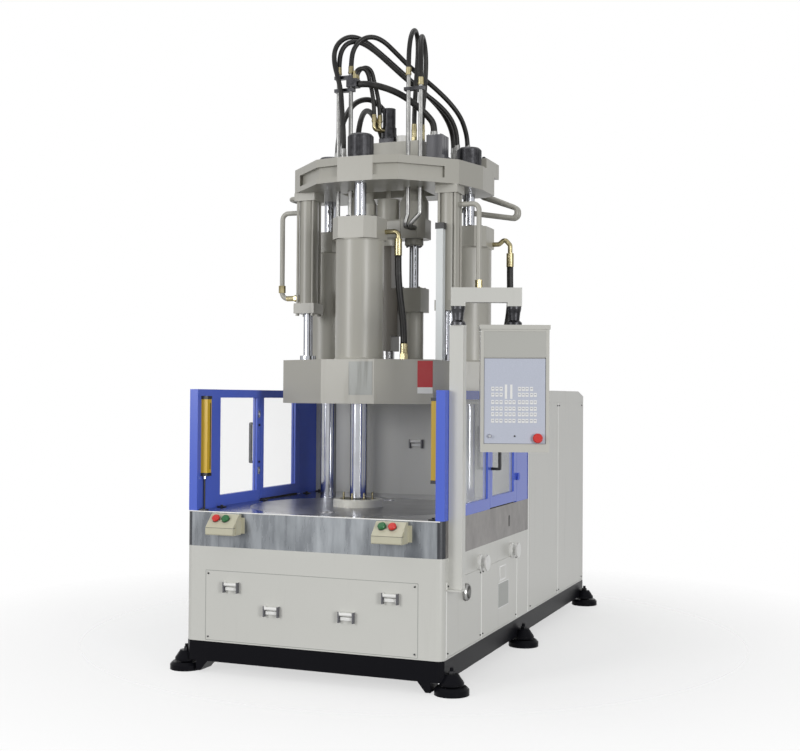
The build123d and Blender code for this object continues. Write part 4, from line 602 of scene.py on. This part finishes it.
# ---------------------------------------------------------------- details
class Shape:
    """Collects boxes, rounds and turned solids into one mesh."""

    def __init__(self):
        self.made = bmesh.new()

    def box(self, low, high, place=None, bevel=0.0):
        """Box between two corners, with its edges eased by bevel."""
        low, high = Vector(low), Vector(high)
        verts = bmesh.ops.create_cube(self.made, size=1)["verts"]
        bmesh.ops.scale(self.made, vec=high - low, verts=verts)
        bmesh.ops.translate(self.made, vec=(high + low) / 2, verts=verts)
        if bevel:
            edges = list({e for v in verts for e in v.link_edges})
            verts = bmesh.ops.bevel(self.made, geom=edges, offset=bevel, segments=2,
                                    affect="EDGES", profile=0.6)["verts"]
        if place:
            bmesh.ops.transform(self.made, matrix=place, verts=list(set(verts)))
        return self

    def round(self, start, end, radius, sides=20, top=None):
        """Bar or prism from start to end; top is its radius at the end if it tapers."""
        start, end = Vector(start), Vector(end)
        verts = bmesh.ops.create_cone(
            self.made, cap_ends=True, segments=sides, radius1=radius,
            radius2=radius if top is None else top, depth=(end - start).length)["verts"]
        turn = (end - start).to_track_quat("Z", "Y").to_matrix().to_4x4()
        bmesh.ops.transform(self.made, matrix=Matrix.Translation((start + end) / 2) @ turn,
                            verts=verts)
        return self

    def turned(self, outline, place=None, sides=24):
        """Solid of revolution about Z on a (radius, height) outline."""
        rings = []
        for radius, z in outline:
            rings.append([self.made.verts.new((radius * math.cos(t), radius * math.sin(t), z))
                          for t in (2 * math.pi * k / sides for k in range(sides))])
        for a, b in zip(rings, rings[1:]):
            for k in range(sides):
                self.made.faces.new((a[k], a[(k + 1) % sides], b[(k + 1) % sides], b[k]))
        self.made.faces.new(rings[0][::-1])
        self.made.faces.new(rings[-1])
        if place:
            bmesh.ops.transform(self.made, matrix=place, verts=[v for ring in rings for v in ring])
        return self

    def bare(self, name, smooth=False):
        """Object of this shape, with no finish yet."""
        bmesh.ops.recalc_face_normals(self.made, faces=self.made.faces)
        mesh = bpy.data.meshes.new(name)
        self.made.to_mesh(mesh)
        self.made.free()
        if smooth:
            mesh.shade_smooth()
        return new_object(name, mesh)

    def finish(self, name, key, body, smooth=False):
        """Piece of this shape with its finish, moving with its body."""
        piece = self.bare(name, smooth)
        piece.data.materials.append(FINISHES[key])
        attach(piece, body)


def repeat_tree():
    """Geometry nodes that set a pattern on points, each with its own turn."""
    tree = bpy.data.node_groups.new("repeated_fitting", "GeometryNodeTree")
    sockets = {}
    for label, kind in (("Places", "Geometry"), ("Pattern", "Object"), ("Size", "Float"),
                        ("Finish", "Material")):
        socket = tree.interface.new_socket(label, in_out="INPUT", socket_type="NodeSocket" + kind)
        sockets[label] = socket.identifier
    tree.interface.new_socket("Pieces", in_out="OUTPUT", socket_type="NodeSocketGeometry")
    given, out = tree.nodes.new("NodeGroupInput"), tree.nodes.new("NodeGroupOutput")
    item = node(tree, "GeometryNodeObjectInfo", (), {"Object": given.outputs["Pattern"]})
    turn = node(tree, "GeometryNodeInputNamedAttribute",
                {"data_type": "FLOAT_VECTOR", "Name": "turn"})
    copies = node(tree, "GeometryNodeInstanceOnPoints", (),
                  {"Points": given.outputs["Places"], "Instance": item.outputs["Geometry"],
                   "Rotation": turn.outputs["Attribute"], "Scale": given.outputs["Size"]})
    real = node(tree, "GeometryNodeRealizeInstances", (),
                {"Geometry": copies.outputs["Instances"]})
    coated = node(tree, "GeometryNodeSetMaterial", (),
                  {"Geometry": real.outputs["Geometry"], "Material": given.outputs["Finish"]})
    tree.links.new(coated.outputs["Geometry"], out.inputs["Pieces"])
    return tree, sockets


REPEAT, SOCKETS = repeat_tree()


def repeat(name, pattern, places, key, body, size=1.0):
    """Piece with a copy of the pattern on each matrix of places."""
    points = bpy.data.meshes.new(name + "_places")
    points.from_pydata([m.to_translation() for m in places], [], [])
    turns = points.attributes.new("turn", "FLOAT_VECTOR", "POINT")
    for i, m in enumerate(places):
        turns.data[i].vector = m.to_euler()
    carrier = new_object(name + "_places", points)
    modifier = carrier.modifiers.new("repeat", "NODES")
    modifier.node_group = REPEAT
    modifier[SOCKETS["Pattern"]] = pattern
    modifier[SOCKETS["Size"]] = size
    modifier[SOCKETS["Finish"]] = FINISHES[key]
    bpy.context.view_layer.update()
    graph = bpy.context.evaluated_depsgraph_get()
    mesh = bpy.data.meshes.new_from_object(carrier.evaluated_get(graph))
    bpy.data.objects.remove(carrier)
    mesh.materials.clear()
    mesh.materials.append(FINISHES[key])
    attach(new_object(name, mesh), body)


def at(x, y, z, facing=(0, 0, 1)):
    """Placement whose local Z looks along facing."""
    turn = Vector(facing).to_track_quat("Z", "Y").to_matrix().to_4x4()
    return Matrix.Translation((x, y, z)) @ turn


def circle_places(x, y, z, radius, count, start=0.0, facing=(0, 0, 1)):
    """Evenly spaced placements on a level circle."""
    return [at(x + radius * math.cos(start + 2 * math.pi * k / count),
               y + radius * math.sin(start + 2 * math.pi * k / count), z, facing)
            for k in range(count)]


# Patterns: a socket-head screw with a head 1 m in radius, which its size brings down, and
# fittings at their own size, on the axis that they are turned about
screw = Shape().turned(((1, 0), (1, 0.9), (0.86, 1.05), (0.55, 1.05), (0.48, 0.5)),
                       sides=12).bare("screw_pattern")
flute = Shape().box((0.0735, -0.0042, 2.922), (0.0765, 0.0042, 3.034), None,
                    0.0012).bare("flute_pattern")
guard_foot = Shape().box((0.655, -0.016, 0.8855), (0.7, 0.016, 0.8905), None, 0.001)
guard_foot = guard_foot.round((0.678, 0, 0.8905), (0.678, 0, 0.898), 0.008, 6).bare("foot_pattern")
bezel = Shape().turned(((0.0135, 0.0), (0.0235, 0.0), (0.0225, 0.0035), (0.0135, 0.0035)),
                       sides=28).bare("bezel_pattern")
panel_key = Shape().box((-0.0078, -0.0722, -0.01), (0.0078, -0.0707, 0.01), None,
                        0.0005).bare("key_pattern")
key_mark = Shape().box((-0.005, -0.0724, -0.001), (0.005, -0.0721, 0.005)).bare("mark_pattern")
PATTERNS = (screw, flute, guard_foot, bezel, panel_key, key_mark)

# Axes of the tie bars, and half the spacing and depth of the two injection cylinders
BARS = ((0.0, -0.909), (-0.468, -0.312), (0.468, -0.312))
CYLINDER_X, CYLINDER_Y = 0.17, -0.469

# Screws, by the radius of their heads
BIG, SMALL, FINE = 0.011, 0.007, 0.0045
repeat("clamp_head_screws", screw,
       [place for x, y in BARS for place in circle_places(x, y, 2.555, 0.098, 8, math.pi / 8)],
       "dark_steel", "moving_unit", BIG)
repeat("carriage_screws", screw,
       [at(s * CYLINDER_X + dx, CYLINDER_Y + dy, 2.181) for s in (-1, 1)
        for dx in (-0.052, 0.052) for dy in (-0.052, 0.052)], "dark_steel", "moving_unit", SMALL)
repeat("motor_screws", screw,
       [at(dx, CYLINDER_Y + dy, 3.105) for dx in (-0.037, 0.037) for dy in (-0.037, 0.037)],
       "dark_steel", "injection_unit", SMALL)
repeat("injector_ring_screws", screw,
       [place for s in (-1, 1)
        for place in circle_places(s * CYLINDER_X, CYLINDER_Y, 2.441, 0.045, 6, 0, (0, 0, -1))],
       "dark_steel", "injection_unit", SMALL)
repeat("access_panel_screws", screw,
       [at(x, -1.554, z, (0, -1, 0)) for x in (-0.612, 0.6) for z in (0.2, 0.545)],
       "dark_steel", "frame", FINE)
SIDE_PANELS = ((-1.502, -0.917, 0.183, 0.568), (-0.911, -0.211, 0.183, 0.568),
               (0.077, 0.801, 0.183, 1.487), (0.807, 1.522, 0.183, 1.487))
repeat("side_panel_screws", screw,
       [at(s * 0.754, y, z, (s, 0, 0)) for s in (-1, 1) for y0, y1, z0, z1 in SIDE_PANELS
        for y in (y0 + 0.02, y1 - 0.02) for z in (z0 + 0.02, z1 - 0.02)],
       "dark_steel", "frame", FINE)
repeat("valve_screws", screw,
       [at(x, y, 3.1) for x in (0.284, 0.362)
        for y in (-0.536, -0.512, -0.496, -0.472, -0.456, -0.432)], "steel", "frame", FINE)
repeat("manifold_screws", screw,
       [at(x, y, 3.0) for x in (-0.28, 0.02, 0.2, 0.53) for y in (-0.21, 0.008)],
       "dark_steel", "frame", BIG)

# Flutes of the round bar nuts, and weld beads round the clamp tubes, with rings under the heads
FLUTES = 24
repeat("nut_flutes", flute,
       [Matrix.Translation((x, y, 0)) @ Matrix.Rotation(2 * math.pi * k / FLUTES, 4, "Z")
        for x, y in BARS for k in range(FLUTES)], "dark_steel", "frame")
beads = Shape()
for x, y in BARS:
    place = Matrix.Translation((x, y, 0))
    beads.turned(((0.1405, 1.7335), (0.1465, 1.7335), (0.1445, 1.741), (0.1405, 1.744)),
                 place, 48)
    beads.turned(((0.1405, 2.42), (0.1425, 2.422), (0.1425, 2.4295), (0.1405, 2.4295)),
                 place, 48)
beads.finish("clamp_tube_beads", "casting", "moving_unit", True)

# Plain plates on the side wall and on the moving platen
plates = Shape()
plates.box((0.754, -0.571, 0.452), (0.7555, -0.441, 0.535))
plates.box((0.754, -0.597, 0.293), (0.7555, -0.387, 0.44))
plates.finish("side_plates", "aluminium", "frame")
Shape().box((0.7555, -0.561, 0.458), (0.756, -0.451, 0.529)).finish(
    "small_plate_field", "cabinet", "frame")
Shape().box((0.7555, -0.592, 0.298), (0.756, -0.392, 0.436)).finish(
    "large_plate_field", "plate", "frame")
Shape().box((0.01, -1.081, 1.53), (0.155, -1.079, 1.72), None, 0.0006).finish(
    "platen_plate", "plate", "moving_unit")
platen_slope = math.atan2(0.132, 0.307)
leaning = Matrix.Translation((0.43, -0.965, 0)) @ Matrix.Rotation(platen_slope, 4, "Z")
Shape().box((-0.043, -0.0015, 1.575), (0.043, 0.0012, 1.725), leaning).finish(
    "platen_sign_red", "sign_red", "moving_unit")
Shape().box((-0.043, -0.0015, 1.54), (0.043, 0.0012, 1.575), leaning).finish(
    "platen_sign_white", "white", "moving_unit")

# Painted highlights: near-white strips on the edges between the cabinet's side panels: place along
# Y, bottom and top
edges = Shape()
for s in (-1, 1):
    for y, z0, z1 in ((-1.503, 0.183, 0.57), (-0.914, 0.183, 0.57), (-0.21, 0.183, 0.57),
                      (0.044, 0.176, 1.565), (0.804, 0.183, 1.487)):
        low, high = sorted((s * 0.754, s * 0.7548))
        edges.box((low, y - 0.0065, z0), (high, y + 0.0065, z1))
edges.finish("panel_edges", "edge", "frame")

# Painted highlight: near-white strip along the folded edge of the table cover, and the slot in its
# right side
Shape().box((-0.735, -1.5555, 0.8805), (0.735, -1.5535, 0.8856), None, 0.0006).finish(
    "table_edge", "edge", "frame")
Shape().box((0.7535, -0.388, 0.752), (0.7548, -0.366, 0.816)).finish(
    "apron_slot", "gasket", "frame")

# Lower rail of each pull, and the joint round the front access panel
rails = Shape()
for low, high in {(tuple(a), tuple(b)) for a, b in parts_of(nodes["panel_pulls"].data)}:
    rails.box((low[0] + 0.009, high[1] - 0.012, low[2] + 0.012),
              (high[0] - 0.009, high[1] - 0.001, low[2] + 0.03), None, 0.002)
rails.finish("pull_rails", "white", "frame")
joint, GAP = Shape(), 0.003
low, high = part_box("front_access_panel")
for x0, x1, z0, z1 in ((low.x, high.x, low.z - GAP, low.z), (low.x, high.x, high.z, high.z + GAP),
                       (low.x - GAP, low.x, low.z, high.z), (high.x, high.x + GAP, low.z, high.z)):
    joint.box((x0, low.y - 0.0004, z0), (x1, low.y + 0.001, z1))
joint.finish("access_panel_joint", "plate", "frame")

# Seals that close the gap under the side doors
for side, s in (("right", 1), ("left", -1)):
    low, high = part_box(side + "_door")
    near, far = sorted((s * 0.712, s * 0.746))
    Shape().box((near, low.y + 0.004, 0.8862), (far, high.y - 0.06, low.z + 0.002)).finish(
        side + "_door_seal", "gasket", side + "_door")

# Control panel: film with its border, hood, keys, bar displays and a lamp
PANEL = Matrix.Translation((1.0635, -1.3548, 1.2417)) @ Matrix.Rotation(math.radians(20), 4, "Z")
Shape().box((-0.156, -0.0708, 0.044), (0.156, -0.0688, 0.478), PANEL, 0.0006).finish(
    "panel_film", "membrane", "panel")
Shape().box((-0.1575, -0.0752, 0.484), (0.1575, -0.0688, 0.6155), PANEL, 0.0006).finish(
    "panel_hood", "hood", "panel")
COLUMNS = (-0.112, -0.091, -0.07, -0.044, -0.024, -0.004, 0.024, 0.043, 0.062, 0.085, 0.104)
ROWS = (0.16, 0.193, 0.222, 0.255, 0.293, 0.323)
key_places = [PANEL @ Matrix.Translation((x, 0, z)) for row, z in enumerate(ROWS) for x in COLUMNS
              if not (row > 3 and -0.06 < x < 0.01 or row == 5 and x > 0.1)]
repeat("panel_keys", panel_key, key_places, "white", "panel")
repeat("panel_key_marks", key_mark, key_places, "grey_ink", "panel")
bars = Shape()
for x in (-0.045, -0.018):
    bars.box((x - 0.006, -0.0722, 0.272), (x + 0.006, -0.0707, 0.345), PANEL, 0.0005)
bars.finish("panel_bar_displays", "white", "panel")
border = Shape()
for x0, z0, x1, z1 in ((-0.1575, 0.0425, 0.1575, 0.0445), (-0.1575, 0.478, 0.1575, 0.48),
                       (-0.1575, 0.0425, -0.1557, 0.48), (0.1557, 0.0425, 0.1575, 0.48)):
    border.box((x0, -0.0712, z0), (x1, -0.0688, z1), PANEL)
border.finish("panel_film_border", "valve", "panel")
Shape().round(PANEL @ Vector((0, -0.0708, 0.082)), PANEL @ Vector((0, -0.0722, 0.082)),
              0.005).finish("panel_lamp", "display", "panel")

# Guards: catches of the doors, feet, and the light curtains' lenses and connectors
catches, lenses, connectors = Shape(), Shape(), Shape()
for s in (-1, 1):
    for z in (1.409, 1.065):
        low, high = sorted((s * 0.7215, s * 0.7185))
        catches.box((low, -0.79, z - 0.022), (high, -0.766, z + 0.022), None, 0.001)
        low, high = sorted((s * 0.7185, s * 0.7125))
        catches.box((low, -0.783, z - 0.009), (high, -0.773, z + 0.009), None, 0.001)
    low, high = sorted((s * 0.6615, s * 0.6605))
    lenses.box((low, -1.469, 1.11), (high, -1.4615, 1.48))
    connectors.round((s * 0.69, -1.474, 1.056), (s * 0.69, -1.474, 1.0715), 0.0095, 12)
catches.finish("door_catches", "chrome", "frame")
repeat("door_catch_screws", screw,
       [at(s * 0.7215, -0.777, z, (-s, 0, 0)) for s in (-1, 1) for z in (1.342, 1.118)],
       "dark_steel", "frame", SMALL)
repeat("guard_feet", guard_foot,
       [Matrix.Translation((0, y, 0)) @ Matrix.Rotation(turned_round, 4, "Z")
        for turned_round in (math.pi, 0) for y in (-1.5, -1.3, -0.79, -0.19, 0.0)],
       "plastic", "frame")
lenses.finish("curtain_lenses", "display", "frame")
connectors.finish("curtain_connectors", "chrome", "frame")

# Bezels of the start buttons on the boxes' sloped faces, and the seams of the boxes
BOX_MIDDLES = (-0.496, 0.477)
outward, upward = Vector((0, -0.70181, 0.71236)), Vector((0, 0.71236, 0.70181))
middle = Vector((-0.01, -1.6145, 0.842)) + upward * 0.01
repeat("button_bezels", bezel,
       [at(*(middle + Vector((x + dx, 0, 0))), outward) for x in BOX_MIDDLES
        for dx in (-0.029, 0.029)], "steel", "frame")
seams = Shape()
for x in BOX_MIDDLES:
    seams.box((x - 0.0846, -1.6495, 0.8055), (x + 0.0846, -1.5545, 0.8075))
seams.finish("hand_box_seams", "gasket", "frame")

# Brass unions at the lower ends of the lift pipes
unions = Shape()
for s in (-1, 1):
    unions.round((s * 0.519, -0.641, 2.124), (s * 0.606, -0.641, 2.124), 0.0162, 20)
    unions.round((s * 0.522, -0.641, 2.124), (s * 0.552, -0.641, 2.124), 0.0215, 6)
    unions.round((s * 0.64, -0.641, 2.16), (s * 0.64, -0.641, 2.205), 0.0215, 6)
unions.finish("lift_pipe_unions", "brass", "frame")

# Crimped sleeves on the hose ends
SLEEVE = 0.045
UNSLEEVED = ("hose_bundle", "clamp_hose_front", "clamp_hose_right")
sleeves = {"frame": Shape(), "moving_unit": Shape(), "injection_unit": Shape()}
for name, (diameter, points) in HOSES.items():
    if name in UNSLEEVED:
        continue
    first, last = BLENDED[name][:2] if name in BLENDED else (RIDES[name], RIDES[name])
    for body, end, inward in ((first, points[0], points[1]), (last, points[-1], points[-2])):
        end, radius = Vector(end), diameter / 2
        step = (Vector(inward) - end).normalized()
        sleeves[body].round(end, end + step * SLEEVE, radius + 0.0022, 20, radius + 0.0012)
        sleeves[body].round(end + step * 0.006, end + step * 0.01, radius + 0.0034, 20)
for body, shape in sleeves.items():
    shape.finish("hose_bands_" + body, "steel" if body == "frame" else "brass", body)
for pattern in PATTERNS:
    bpy.data.objects.remove(pattern)

# ---------------------------------------------------------------- stage
FLOOR_HALF = 40
SHADOW_EDGE, SHADOW_END = 1.4, 3.4
floor_mesh = bpy.data.meshes.new("floor")
floor_mesh.from_pydata([(x * FLOOR_HALF, y * FLOOR_HALF, 0)
                        for x, y in ((-1, -1), (1, -1), (1, 1), (-1, 1))], [], [(0, 1, 2, 3)])
floor = new_object("floor", floor_mesh)
floor_paint = bpy.data.materials.new("pale_floor")
floor_paint.use_nodes = True
tree = floor_paint.node_tree
shader = tree.nodes["Principled BSDF"]
shader.inputs["Base Color"].default_value = (0.93, 0.93, 0.93, 1)
shader.inputs["Roughness"].default_value = 0.6
away = node(tree, "ShaderNodeVectorMath", {"operation": "LENGTH"},
            {0: tree.nodes.new("ShaderNodeTexCoord").outputs["Object"]})
fade = node(tree, "ShaderNodeMapRange",
            {"From Min": SHADOW_EDGE, "From Max": SHADOW_END, "To Min": 0.4, "To Max": 0.0},
            {"Value": away.outputs["Value"]})
tree.links.new(fade.outputs[0], shader.inputs["Alpha"])
floor_mesh.materials.append(floor_paint)


def soft_light(name, place, target, size, power):
    """Large rectangular studio light."""
    data = bpy.data.lights.new(name, "AREA")
    data.shape = "RECTANGLE"
    data.size, data.size_y = size
    data.energy = power
    lamp = bpy.data.objects.new(name, data)
    scene.collection.objects.link(lamp)
    lamp.location = place
    lamp.rotation_euler = (Vector(target) - Vector(place)).to_track_quat("-Z", "Y").to_euler()


soft_light("key", (-6.0, -11.5, 3.4), (0, 0, 1.3), (3.6, 3.6), 470)
soft_light("fill", (10.0, -8.0, 2.2), (0, 0, 1.2), (3.0, 4.0), 600)
soft_light("top", (-1.0, -0.5, 8.5), (0, 0, 1.0), (4.0, 4.0), 90)

# World: a soft room, brighter towards the left front and dim below the horizon, that the
# camera, glossy and transmission rays see as plain white
TOWARDS_WINDOW = (-0.52, -0.8, 0.3)
world = bpy.data.worlds.new("studio")
world.use_nodes = True
scene.world = world
tree = world.node_tree
sky = tree.nodes["Background"]
around = tree.nodes.new("ShaderNodeTexCoord").outputs["Generated"]
lobe = node(tree, "ShaderNodeVectorMath", {"operation": "DOT_PRODUCT", 1: TOWARDS_WINDOW},
            {0: around})
level = node(tree, "ShaderNodeMapRange",
             {"From Min": -0.6, "From Max": 0.9, "To Min": 0.3, "To Max": 0.56},
             {"Value": lobe.outputs["Value"]})
height = node(tree, "ShaderNodeSeparateXYZ", (), {0: around})
below = node(tree, "ShaderNodeMapRange",
             {"From Min": -0.35, "From Max": 0.05, "To Min": 0.15, "To Max": 1.0},
             {"Value": height.outputs["Z"]})
shade = node(tree, "ShaderNodeMath", {"operation": "MULTIPLY"},
             {0: level.outputs[0], 1: below.outputs[0]})
path = tree.nodes.new("ShaderNodeLightPath")
direct = node(tree, "ShaderNodeMath", {"operation": "MAXIMUM"},
              {0: path.outputs["Is Camera Ray"], 1: path.outputs["Is Glossy Ray"]})
direct = node(tree, "ShaderNodeMath", {"operation": "MAXIMUM"},
              {0: direct.outputs[0], 1: path.outputs["Is Transmission Ray"]})
seen = node(tree, "ShaderNodeMix", {"data_type": "FLOAT", 3: 1.0},
            {0: direct.outputs[0], 2: shade.outputs[0]})
tree.links.new(seen.outputs[0], sky.inputs["Strength"])
sky.inputs["Color"].default_value = (1, 1, 1, 1)
scene.view_settings.view_transform = "Standard"
